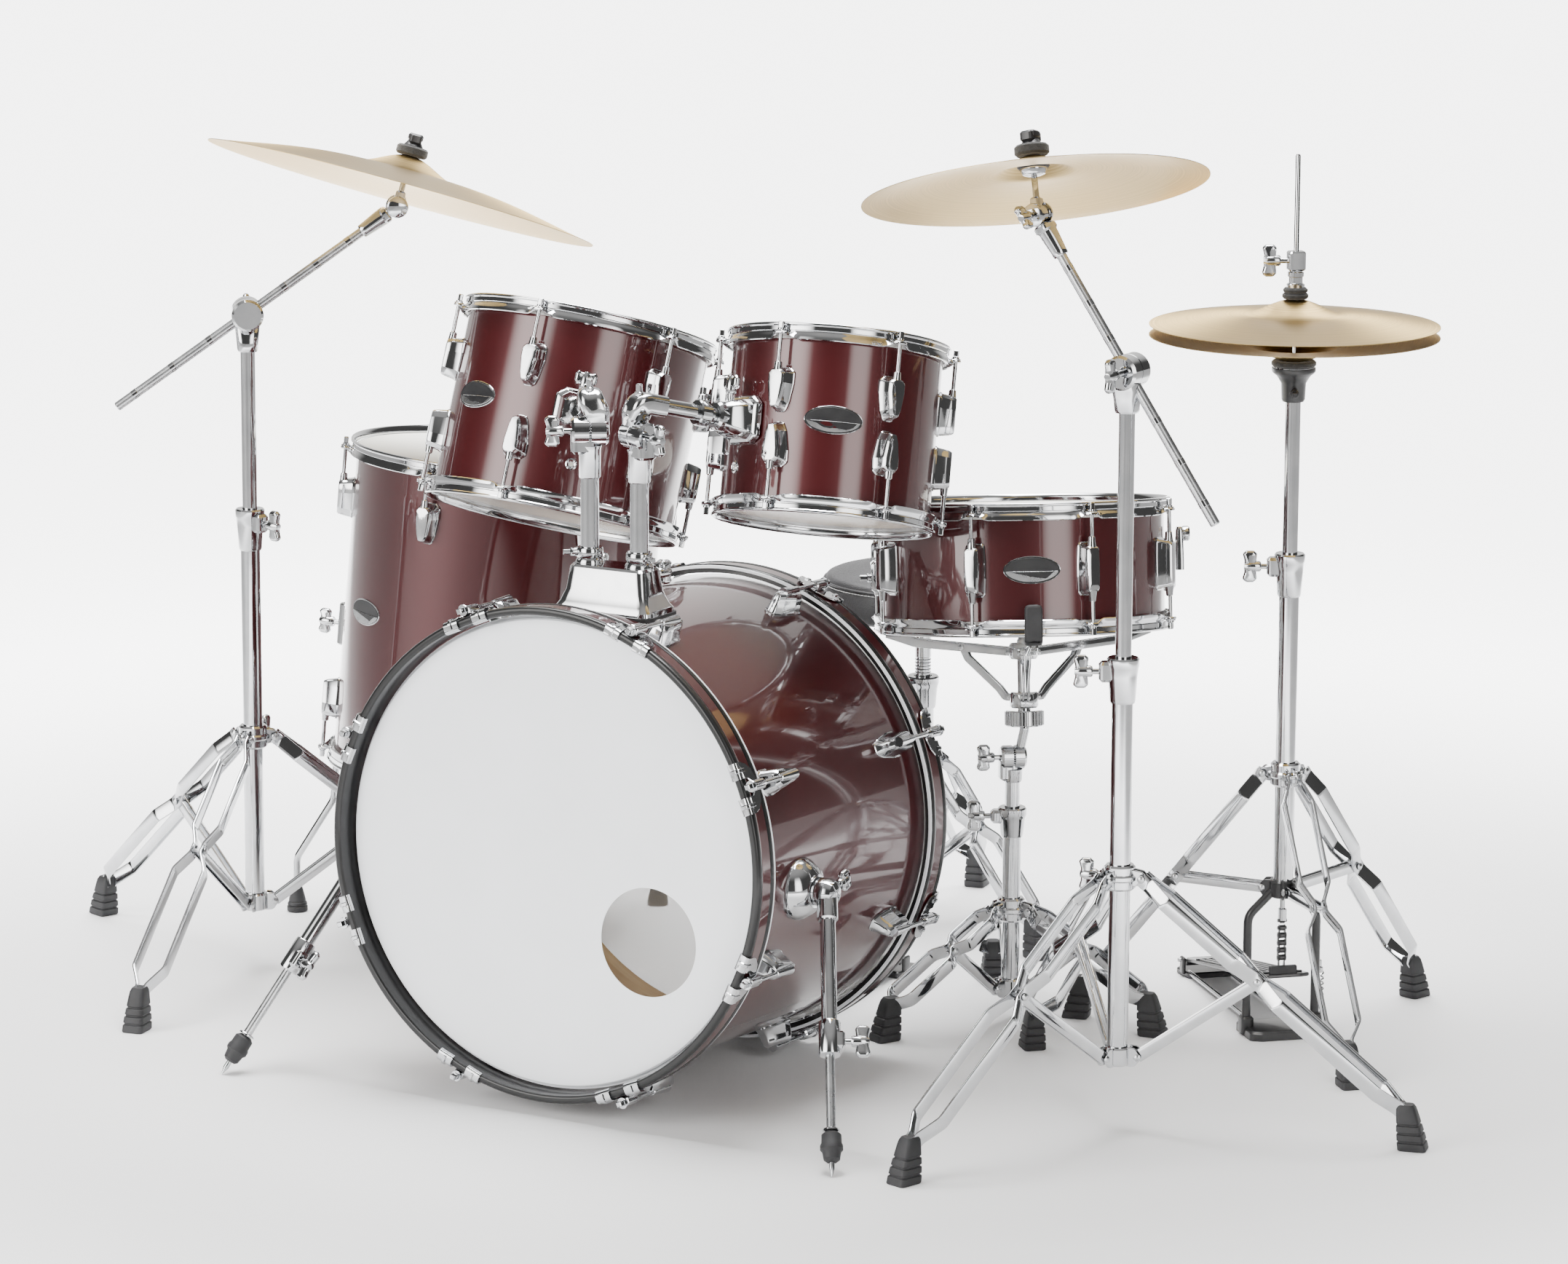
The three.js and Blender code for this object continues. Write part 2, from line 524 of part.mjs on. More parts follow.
// ---------------------------------------------------------------- hi-hat
function hiHat() {
  const spec = HIHAT;
  const group = placedGroup(new THREE.Matrix4().makeTranslation(spec.at[0], spec.at[1], 0));
  const heading = spin(spec.pedalAngle); // local +X of the pedal runs to the heel
  const crown = crownHeight(spec.cymbal);
  const bore = 5.4;
  const tubeLow = spec.heightCollarZ - 10;
  const cupLow = spec.seatZ - 26;
  const upper = turned([[bore, tubeLow], [10.3, tubeLow], [10.3, cupLow], [12, cupLow],
    [23, spec.seatZ - 12], [23, spec.seatZ - GAP], [bore, spec.seatZ - GAP]], 12);
  const frame = [box(60, 96, 20, V(-6, 0, 10)), box(46, 70, 10, V(300, 0, 5))];
  for (const s of [-1, 1]) {
    frame.push(
      rod(V(0, s * 45, 8), V(0, s * 45, 150), 5.5, { segments: 6 }),
      rod(V(0, s * 45, 146), V(0, s * 14, 186), 5.5, { segments: 6 }),
      rod(V(10, s * 26, 6), V(290, s * 26, 6), 3.2, { segments: 6 }));
  }
  const base = join(
    tripod({ ...spec, tubeRadius: 12.5, bore, top: spec.heightCollarZ, cap: 22, bottom: spec.hubZ - 20 }),
    upper,
    frame.map((solid) => solid.transform(heading.elements)))
    .subtract(rod(V(0, 0, 60), V(0, 0, spec.rodTop), bore, { segments: 12 }));
  addPiece('hihat_base', base, 'chrome', group);

  const board = bar(V(294, 0, 22), V(-14, 0, 76), V(0, 0, 1), 72, 5);
  addPiece('hihat_footboard', board.transform(heading.elements), 'blackMetal', group);

  const topCrown = spec.rimZ + crown;
  const pull = join(
    rod(V(0, 0, 96), V(0, 0, spec.rodTop), 3.2, { segments: 8 }),
    box(12, 7, 70, V(0, 0, 118), heading),
    rod(V(0, 0, topCrown - 11), V(0, 0, topCrown - 3.8), 14, { segments: 8 }),
    rod(V(0, 0, topCrown + GAP), V(0, 0, topCrown + 14), 14, { segments: 8 }),
    rod(V(0, 0, topCrown + 12), V(0, 0, topCrown + 52), 8.5, { segments: 8 }),
    wingBolt(V(0, 0, topCrown + 42), V(-0.87, -0.5, 0), 26, 12));
  addPiece('hihat_rod', pull, 'chrome', group);

  const rims = [
    ['hihat_top_cymbal', spec.rimZ, 0],
    ['hihat_bottom_cymbal', spec.rimZ - spec.rimGap, Math.PI]];
  for (const [name, z, turn] of rims) {
    const cymbalGroup = new THREE.Group();
    cymbalGroup.position.set(0, 0, z);
    cymbalGroup.rotation.x = turn;
    group.add(cymbalGroup);
    addPiece(name, cymbalSolid(spec.cymbal, 24), 'bronze', cymbalGroup);
  }
}

// ---------------------------------------------------------------- snare drum and stand
function snareDrum() {
  const spec = SNARE;
  const group = placedGroup(drumMatrix(spec));
  const radius = (spec.diameter * INCH) / 2;
  const half = (spec.depth * INCH) / 2;
  const strainer = box(16, 26, 66, V(radius + 6, 0, -4), spin(spec.strainerAngle));
  const butt = box(14, 30, 40, V(radius + 5, 0, -12), spin(spec.strainerAngle + 180));
  drum('snare', spec, { fittings: [strainer, butt], group, splitLugs: false });
  const lever = join(box(9, 12, 53, V(radius + 19, 0, 15.5)), box(16, 20, 12, V(radius + 22.9, 0, 34)));
  addPiece('snare_strainer_lever', lever.transform(spin(spec.strainerAngle).elements), 'chrome', group);
  const wires = box(300, 42, 1.2, V(0, 0, -half - 3.2), spin(spec.strainerAngle));
  addPiece('snare_wires', wires, 'wires', group);

  const stand = SNARE_STAND;
  const [x, y] = stand.at;
  const standGroup = placedGroup(new THREE.Matrix4().makeTranslation(x, y, 0));
  const tubeRadius = 9.25;
  const top = stand.heightCollarZ;
  const base = tripod({ ...stand, tubeRadius: 11.5, bore: tubeRadius + 1.2, top, cap: 18 });
  addPiece('snare_stand_base', base, 'chrome', standGroup);

  const axis = V(...spec.axis).normalize();
  const lean = V(axis.x, axis.y, 0).normalize();
  const hinge = V(lean.y, -lean.x, 0);
  const pivot = V(0, 0, stand.tilterZ);
  const beside = (amount) => pivot.clone().addScaledVector(hinge, amount);
  const tilterFrame = basis(pivot, UP, hinge);
  const tube = join(
    rod(V(0, 0, 110), V(0, 0, stand.tilterZ - 15), tubeRadius, { segments: 12 }),
    rod(beside(-16), beside(-GAP), 14, { segments: 10 }),
    box(15, 16, 26, V(-GAP - 7.5, 0, -14), tilterFrame),
    wingBolt(beside(-14), hinge.clone().negate(), 20, 11));
  addPiece('snare_stand_tube', tube, 'chrome', standGroup);

  // basket hub line follows the drum's own axis
  const toStand = V(x, y, 0);
  const centre = V(...spec.centre).sub(toStand);
  const line = (below) => centre.clone().addScaledVector(axis, -below);
  const seat = half + HOOP.rise + GAP;
  const parts = [
    rod(beside(GAP), beside(16), 14, { segments: 10 }),
    rod(beside(9), line(172), 8, { segments: 8 }),
    rod(line(205), line(180), 11, { segments: 8 }),
    rod(line(181), line(96), 8, { segments: 8 }),
    rod(line(174), line(158), 17, { segments: 8 }),
    rod(line(118), line(100), 17, { segments: 8 })];
  const drumFrame = basis(centre, axis);
  for (const angle of stand.armAngles) {
    const local = drumFrame.clone().multiply(spin(angle));
    const at = (r, z) => V(r, 0, z).applyMatrix4(local);
    const across = V(0, 1, 0).transformDirection(local);
    parts.push(bar(at(12, -110), at(190, -seat - 6), across, 9, 9));
    parts.push(bar(at(12, -166), at(110, -seat - 10), across, 8, 5));
    parts.push(box(30, 16, 9, V(radius + HOOP.lip - 1, 0, -seat - 5), local));
    parts.push(box(9, 16, 40, V(radius + HOOP.lip + 5.6, 0, -seat + 12), local));
  }
  addPiece('snare_stand_basket', join(parts), 'chrome', standGroup);
}

// ---------------------------------------------------------------- bass drum pedal
function bassPedal() {
  const { x, frontY, axleY, axleZ, heelY, baseWidth, beaterLength, beaterLean } = PEDAL;
  const postX = 42;
  const bearing = rod(V(x - 80, axleY, axleZ), V(x + 80, axleY, axleZ), 5.6, { segments: 8 });
  const posts = [-1, 1].map((s) => box(10, 20, axleZ + 8, V(x + s * postX, axleY, (axleZ + 12) / 2)));
  const rails = [-1, 1].map((s) => rod(V(x + s * 20, frontY + 30, 6), V(x + s * 20, heelY, 6), 3.4,
    { segments: 6 }));
  const toePlate = box(baseWidth, 78, 6, V(x, frontY + 39, 3));
  const heelPlate = box(78, 56, 10, V(x, heelY + 8, 5));
  const frame = join(toePlate, posts, rails, heelPlate).subtract(bearing);
  addPiece('pedal_frame', frame, 'blackMetal', kit);

  const board = join(bar(V(x, heelY + 4, 22), V(x, axleY + 26, 78), V(0, 0, 1), 70, 5),
    box(12, 5, 44, V(x, axleY + 29, 96)));
  addPiece('pedal_footboard', board, 'blackMetal', kit);

  const lean = rad(beaterLean);
  const shaft = V(0, Math.sin(lean), Math.cos(lean));
  const axle = V(x, axleY, axleZ);
  const head = axle.clone().addScaledVector(shaft, beaterLength);
  const facing = V(0, -shaft.z, shaft.y);
  const beater = join(
    rod(V(x - postX - 12, axleY, axleZ), V(x + postX + 12, axleY, axleZ), 4.6, { segments: 8 }),
    rod(V(x - 9, axleY, axleZ), V(x + 9, axleY, axleZ), 16, { segments: 10 }),
    rod(axle, head, 3.6, { segments: 6 }),
    rod(head.clone().addScaledVector(facing, -18), head.clone().addScaledVector(facing, 26), 24,
      { segments: 12 }));
  addPiece('pedal_beater', beater, 'chrome', kit);
}

// ---------------------------------------------------------------- throne
function throne() {
  const spec = THRONE;
  const group = placedGroup(new THREE.Matrix4().makeTranslation(spec.at[0], spec.at[1], 0));
  const base = tripod({ ...spec, tubeRadius: 15, bore: 12, top: spec.tubeTop, cap: 22 });
  addPiece('throne_base', base, 'chrome', group);
  const { seatRadius, seatBottom, seatTop } = spec;
  const seat = turned([[0, 200], [11, 200], [11, seatBottom - 10], [70, seatBottom - 10], [70, seatBottom],
    [seatRadius, seatBottom], [seatRadius, seatTop - 10], [seatRadius - 12, seatTop], [0, seatTop]], 24);
  addPiece('throne_seat', seat, 'vinyl', group);
}

// ---------------------------------------------------------------- assembly
bassDrum();
spur('bass_spur_left', -1);
spur('bass_spur_right', 1);
tomHolder(bassShellCutter());
for (const [name, spec] of Object.entries(TOMS)) tomMount(name, spec);
floorTom();
snareDrum();
for (const [name, spec] of Object.entries(BOOM_STANDS)) boomStand(name, spec);
hiHat();
bassPedal();
throne();

export default kit;
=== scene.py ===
"""Looks of a five-piece drum kit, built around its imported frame. Sizes here are in millimetres."""
import json
import math

import bmesh
import bpy
from mathutils import Matrix, Vector


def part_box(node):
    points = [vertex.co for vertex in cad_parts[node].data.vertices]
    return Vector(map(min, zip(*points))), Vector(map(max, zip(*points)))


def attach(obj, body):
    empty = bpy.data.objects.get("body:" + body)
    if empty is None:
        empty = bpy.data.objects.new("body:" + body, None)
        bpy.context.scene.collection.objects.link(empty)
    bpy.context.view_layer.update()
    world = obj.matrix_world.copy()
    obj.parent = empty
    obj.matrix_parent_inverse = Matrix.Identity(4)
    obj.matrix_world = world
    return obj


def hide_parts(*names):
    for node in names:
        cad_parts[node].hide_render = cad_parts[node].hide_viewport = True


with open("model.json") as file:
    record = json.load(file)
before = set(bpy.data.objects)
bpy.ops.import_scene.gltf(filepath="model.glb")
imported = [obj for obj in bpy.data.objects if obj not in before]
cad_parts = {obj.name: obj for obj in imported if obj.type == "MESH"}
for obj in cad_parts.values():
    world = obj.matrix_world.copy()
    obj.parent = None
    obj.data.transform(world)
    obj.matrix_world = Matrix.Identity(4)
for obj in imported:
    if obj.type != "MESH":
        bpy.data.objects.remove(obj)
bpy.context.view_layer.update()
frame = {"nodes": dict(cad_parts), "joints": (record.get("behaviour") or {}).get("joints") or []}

MM = 0.001
INCH = 25.4
UP = Vector((0, 0, 1))
X_AXIS, Y_AXIS = Vector((1, 0, 0)), Vector((0, 1, 0))
CAMERA_TURN = 30.08  # degrees to the audience's right
JOINTS = {joint["name"]: joint for joint in frame["joints"]}
ROOT = "kit_frame"


# ---- camera
def make_camera():
    """The view from the audience's right, a little above the cymbals, with a long lens."""
    place = Vector((3.696, -6.364, 1.934))
    turn, dip, roll = [math.radians(angle) for angle in (CAMERA_TURN, 11.226, 0.245)]
    focal, sensor = 136.1, 36
    look = Vector((-math.sin(turn) * math.cos(dip), math.cos(turn) * math.cos(dip), -math.sin(dip)))
    right = Vector((math.cos(turn), math.sin(turn), 0))
    up = right.cross(look)
    side = right * math.cos(roll) + up * math.sin(roll)
    data = bpy.data.cameras.new("camera")
    data.lens, data.sensor_width, data.clip_end = focal, sensor, 60
    camera = bpy.data.objects.new("camera", data)
    matrix = Matrix((side, look.cross(side) * -1, -look)).transposed().to_4x4()
    matrix.translation = place
    camera.matrix_world = matrix
    bpy.context.scene.collection.objects.link(camera)
    bpy.context.scene.camera = camera


# ---- places read from the frame
def joint_at(name):
    return Vector(JOINTS[name]["pos_m"]) / MM


def joint_axis(name):
    return Vector(JOINTS[name]["axis"]).normalized()


def mean(node):
    points = [vertex.co for vertex in frame["nodes"][node].data.vertices]
    return sum(points, Vector()) / len(points) / MM


def low(node):
    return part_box(node)[0] / MM


def high(node):
    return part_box(node)[1] / MM


def basis(origin, z_axis, x_hint=X_AXIS):
    z = z_axis.normalized()
    x = (x_hint - z * x_hint.dot(z)).normalized()
    matrix = Matrix((x, z.cross(x), z)).transposed().to_4x4()
    matrix.translation = origin
    return matrix


def polar(radius, degrees, z=0.0):
    return Vector((radius * math.cos(math.radians(degrees)), radius * math.sin(math.radians(degrees)), z))


def spin(degrees):
    return Matrix.Rotation(math.radians(degrees), 4, "Z")


def shift(x, y, z):
    return Matrix.Translation((x, y, z))


FLIP = Matrix.Scale(-1, 4, UP)
UPRIGHT = Matrix.Rotation(math.pi / 2, 4, "X")
OUTWARD = Matrix(((0, 0, 1, 0), (1, 0, 0, 0), (0, 1, 0, 0), (0, 0, 0, 1)))


# ---- mesh forms
class Form:
    """A closed mesh in the making: its vertices, and its faces as tuples of vertex numbers."""

    def __init__(self, verts=(), faces=()):
        self.verts = [Vector(v) for v in verts]
        self.faces = [tuple(f) for f in faces]

    def moved(self, matrix):
        return Form([matrix @ v for v in self.verts], self.faces)


def join(*forms):
    whole = Form()
    for form in forms:
        if isinstance(form, (list, tuple)):
            form = join(*form)
        start = len(whole.verts)
        whole.verts += form.verts
        whole.faces += [tuple(i + start for i in face) for face in form.faces]
    return whole


def lathe(profile, segments=40, loop=False):
    """Turns (radius, height) points about Z. The points run counter-clockwise, with radius to the right."""
    verts, rings, faces = [], [], []
    for radius, z in profile:
        if radius < 1e-6:
            rings.append([len(verts)] * segments)
            verts.append((0, 0, z))
        else:
            rings.append(list(range(len(verts), len(verts) + segments)))
            verts += [polar(radius, 360 * k / segments, z) for k in range(segments)]
    pairs = list(zip(rings, rings[1:] + (rings[:1] if loop else [])))
    for lower, upper in pairs[:None if loop else len(rings) - 1]:
        for k in range(segments):
            n = (k + 1) % segments
            face = tuple(dict.fromkeys((lower[k], lower[n], upper[n], upper[k])))
            if len(face) > 2:
                faces.append(face)
    return Form(verts, faces)


def arc(centre, radius, start, end, steps=6):
    """Points on a circle, from one angle to another in degrees."""
    angles = [math.radians(start + (end - start) * k / steps) for k in range(steps + 1)]
    return [(centre[0] + radius * math.cos(a), centre[1] + radius * math.sin(a)) for a in angles]


def corner(before, point, after, radius, steps):
    back, forth = before - point, after - point
    half = back.angle(forth, math.pi) / 2
    cut = min(radius / max(math.tan(half), 1e-3), back.length * 0.48, forth.length * 0.48)
    start, end = point + back.normalized() * cut, point + forth.normalized() * cut
    shares = [k / steps for k in range(steps + 1)]
    return [start * (1 - t) ** 2 + point * 2 * t * (1 - t) + end * t * t for t in shares]


def rounded(points, radius, steps=3):
    """A closed flat outline with its corners rounded."""
    points = [Vector(p) for p in points]
    count = len(points)
    return [p for i in range(count) for p in corner(points[i - 1], points[i], points[(i + 1) % count],
                                                    radius, steps)]


def bent(points, radius, steps=5):
    """An open path in space with its corners rounded."""
    points = [Vector(p) for p in points]
    inner = [p for i in range(1, len(points) - 1)
             for p in corner(points[i - 1], points[i], points[i + 1], radius, steps)]
    return [points[0], *inner, points[-1]]


def rect(width, depth):
    return [(-width / 2, -depth / 2), (width / 2, -depth / 2), (width / 2, depth / 2),
            (-width / 2, depth / 2)]


def circle(radius, sides=16):
    return [Vector(polar(radius, 360 * k / sides).xy) for k in range(sides)]


def inset(outline, amount):
    count = len(outline)
    result = []
    for i, point in enumerate(outline):
        along = (Vector(outline[(i + 1) % count]) - Vector(outline[i - 1])).normalized()
        result.append(Vector(point) + Vector((-along.y, along.x)) * amount)
    return result


def loft(layers):
    """Joins flat outlines of equal length, each a pair of outline and height."""
    count = len(layers[0][0])
    verts = [(p[0], p[1], z) for outline, z in layers for p in outline]
    faces = [tuple(reversed(range(count))), tuple(range(len(verts) - count, len(verts)))]
    for level in range(len(layers) - 1):
        for i in range(count):
            a, b = level * count + i, level * count + (i + 1) % count
            faces.append((a, b, b + count, a + count))
    return Form(verts, faces)


def plate(outline, thickness, bevel=0.6):
    half = thickness / 2
    small = inset(outline, bevel)
    return loft([(small, -half), (outline, bevel - half), (outline, half - bevel), (small, half)])


def slab(width, depth, height, radius=2.0, bevel=0.6, steps=3):
    return plate(rounded(rect(width, depth), radius, steps), height, bevel)


def sweep(path, section, side=None, scale=None):
    """Carries a flat section along a path. side is where the section's X points."""
    path = [Vector(p) for p in path]
    count, last = len(section), len(path) - 1
    x = side
    verts, faces = [], []
    for i, point in enumerate(path):
        along = (path[min(i + 1, last)] - path[max(i - 1, 0)]).normalized()
        if x is None:
            x = along.orthogonal()
        x = ((side or x) - along * (side or x).dot(along)).normalized()
        y = along.cross(x)
        grow = scale[i] if scale else 1.0
        verts += [point + x * p[0] * grow + y * p[1] * grow for p in section]
    faces.append(tuple(reversed(range(count))))
    faces.append(tuple(range(len(verts) - count, len(verts))))
    for level in range(last):
        for i in range(count):
            a, b = level * count + i, level * count + (i + 1) % count
            faces.append((a, b, b + count, a + count))
    return Form(verts, faces)


def wire(path, radius, sides=14):
    return sweep(path, circle(radius, sides))


def turned(a, b, profile, segments=28):
    """A lathe form standing on a, pointing at b. The profile is (radius, distance from a)."""
    return lathe(profile, segments).moved(basis(a, b - a, hint_for(b - a)))


def hint_for(direction):
    return Y_AXIS if abs(direction.normalized().x) > 0.9 else X_AXIS


def pin(a, b, radius, bevel=0.6, segments=28):
    """A round bar with bevelled ends."""
    length = (b - a).length
    return turned(a, b, [(0, 0), (radius - bevel, 0), (radius, bevel), (radius, length - bevel),
                         (radius - bevel, length), (0, length)], segments)


def ring(inner, outer, bottom, top, bevel=0.8, segments=40):
    """A bevelled sleeve about Z."""
    return lathe([(inner, bottom), (outer - bevel, bottom), (outer, bottom + bevel), (outer, top - bevel),
                  (outer - bevel, top), (inner, top)], segments, loop=True)


def rivet(centre, axis, grip, radius=4.6):
    """A pin with a domed head at each end of its grip."""
    half = grip / 2
    dome = [(0, -half - 2.6), (radius * 0.6, -half - 2.1), (radius * 0.95, -half - 0.8), (radius, -half),
            (radius * 0.5, -half), (radius * 0.5, half), (radius, half), (radius * 0.95, half + 0.8),
            (radius * 0.6, half + 2.1), (0, half + 2.6)]
    return lathe(dome, 16).moved(basis(centre, axis, hint_for(axis)))


def pillow(outline, thickness, edge):
    """A plate whose rim is rounded over from face to face."""
    layers = []
    for share in (-1, -0.92, -0.72, -0.4, 0, 0.4, 0.72, 0.92, 1):
        layers.append((inset(outline, edge * (1 - math.sqrt(1 - share * share))), share * thickness / 2))
    return loft(layers)


def wing_bolt(at, direction, reach, span=20, hint=UP):
    """A threaded stem with a thick cast paddle for a head; the paddle lies along hint."""
    outline = [(-7, -7.5), (7, -7.5), (span - 4, -8.5), (span, -4), (span, 5), (span - 4, 10), (7, 7.5),
               (-7, 7.5), (4 - span, 10), (-span, 5), (-span, -4), (4 - span, -8.5)]
    paddle = pillow(rounded(outline, 4, 4), 9, 3.8).moved(shift(0, 0, reach) @ UPRIGHT)
    hub = lathe([(0, reach - 13), (5.6, reach - 13), (6.8, reach - 11), (7, reach + 2), (4, reach + 8),
                 (0, reach + 8.4)], 20)
    stem = lathe([(0, 0), (3.4, 0), (3.4, reach - 12), (0, reach - 12)], 14)
    return join(paddle, hub, stem).moved(basis(at, direction, hint))


def key_screw(at, direction, reach):
    """A square-headed drum-key screw on a small collar."""
    head = slab(6.2, 6.2, 9, 1.0, 0.8).moved(shift(0, 0, reach - 4.5))
    collar = lathe([(0, 0), (5, 0), (5.4, 1.2), (5.4, reach - 10), (4.4, reach - 9), (0, reach - 9)], 20)
    return join(head, collar).moved(basis(at, direction, hint_for(direction)))


# ---- materials
def new_material(name):
    material = bpy.data.materials.new(name)
    material.use_nodes = True
    return material, material.node_tree.nodes, material.node_tree.links


def node(nodes, kind, **inputs):
    made = nodes.new(kind)
    for name, value in inputs.items():
        made.inputs[name.replace("_", " ")].default_value = value
    return made


def noise(nodes, links, scale, detail=3.0, stretch=None):
    """Noise in the piece's own space; stretch squeezes it along X, Y and Z."""
    space = nodes.new("ShaderNodeTexCoord")
    source = space.outputs["Object"]
    if stretch:
        mapping = nodes.new("ShaderNodeMapping")
        mapping.inputs["Scale"].default_value = stretch
        links.new(source, mapping.inputs["Vector"])
        source = mapping.outputs["Vector"]
    texture = node(nodes, "ShaderNodeTexNoise", Scale=scale, Detail=detail)
    links.new(source, texture.inputs["Vector"])
    return texture.outputs["Fac"]


def ramp(nodes, links, source, low_color, high_color, start=0.3, end=0.7):
    made = nodes.new("ShaderNodeValToRGB")
    first, second = made.color_ramp.elements
    first.position, second.position = start, end
    first.color, second.color = (*low_color, 1), (*high_color, 1)
    links.new(source, made.inputs["Fac"])
    return made.outputs["Color"]


def spread(nodes, links, source, low_value, high_value):
    made = node(nodes, "ShaderNodeMapRange", To_Min=low_value, To_Max=high_value)
    links.new(source, made.inputs["Value"])
    return made.outputs["Result"]


def bump(nodes, links, source, shader, strength, distance):
    made = node(nodes, "ShaderNodeBump", Strength=strength, Distance=distance)
    links.new(source, made.inputs["Height"])
    links.new(made.outputs["Normal"], shader.inputs["Normal"])
    return made


def surface(name, dark, light, rough, scale, bumped=(0.0, 0.0), stretch=None, detail=3.0, bump_scale=None,
            **fixed):
    """Two close colours and a range of roughness mixed by noise, with a fine bump of its own scale."""
    material, nodes, links = new_material(name)
    shader = nodes["Principled BSDF"]
    for key, value in fixed.items():
        shader.inputs[key.replace("_", " ")].default_value = value
    cloud = noise(nodes, links, scale, detail, stretch)
    links.new(ramp(nodes, links, cloud, dark, light), shader.inputs["Base Color"])
    links.new(spread(nodes, links, cloud, *rough), shader.inputs["Roughness"])
    if bumped[0]:
        grain = noise(nodes, links, bump_scale or scale * 6, 4.0, stretch)
        bump(nodes, links, grain, shader, *bumped)
    return material


def bronze():
    """Lathed bronze: fine rings about the piece's own Z in colour, roughness and bump."""
    material, nodes, links = new_material("bronze")
    shader = nodes["Principled BSDF"]
    shader.inputs["Metallic"].default_value = 1.0
    shader.inputs["Anisotropic"].default_value = 0.75
    space = nodes.new("ShaderNodeTexCoord")
    flat = nodes.new("ShaderNodeVectorMath")
    flat.operation = "MULTIPLY"
    flat.inputs[1].default_value = (1, 1, 0)
    length = nodes.new("ShaderNodeVectorMath")
    length.operation = "LENGTH"
    links.new(space.outputs["Object"], flat.inputs[0])
    links.new(flat.outputs["Vector"], length.inputs[0])
    rings = node(nodes, "ShaderNodeTexNoise", Scale=420.0, Detail=4.0, Roughness=0.7)
    rings.noise_dimensions = "1D"
    links.new(length.outputs["Value"], rings.inputs["W"])
    color = ramp(nodes, links, rings.outputs["Fac"], (0.44, 0.3, 0.11), (0.66, 0.49, 0.23), 0.25, 0.75)
    links.new(color, shader.inputs["Base Color"])
    links.new(spread(nodes, links, rings.outputs["Fac"], 0.32, 0.46), shader.inputs["Roughness"])
    bump(nodes, links, rings.outputs["Fac"], shader, 0.25, 0.0002)
    tangent = nodes.new("ShaderNodeTangent")
    tangent.direction_type, tangent.axis = "RADIAL", "Z"
    links.new(tangent.outputs["Tangent"], shader.inputs["Tangent"])
    return material


def vinyl():
    """Pebbled black vinyl."""
    material, nodes, links = new_material("vinyl")
    shader = nodes["Principled BSDF"]
    shader.inputs["Specular IOR Level"].default_value = 0.45
    space = nodes.new("ShaderNodeTexCoord")
    cells = node(nodes, "ShaderNodeTexVoronoi", Scale=520.0)
    links.new(space.outputs["Object"], cells.inputs["Vector"])
    cloud = noise(nodes, links, 14.0)
    links.new(ramp(nodes, links, cloud, (0.012, 0.012, 0.013), (0.026, 0.026, 0.028)),
              shader.inputs["Base Color"])
    links.new(spread(nodes, links, cells.outputs["Distance"], 0.36, 0.6), shader.inputs["Roughness"])
    bump(nodes, links, cells.outputs["Distance"], shader, 0.5, 0.0006)
    return material


def film(name, color, alpha, rough):
    """A drum head's plastic film; below 1 alpha it lets the shell show through."""
    material = surface(name, [c * 0.95 for c in color], color, (rough, rough + 0.08), 9.0, (0.03, 0.0002),
                       bump_scale=400.0, Alpha=alpha)
    return material


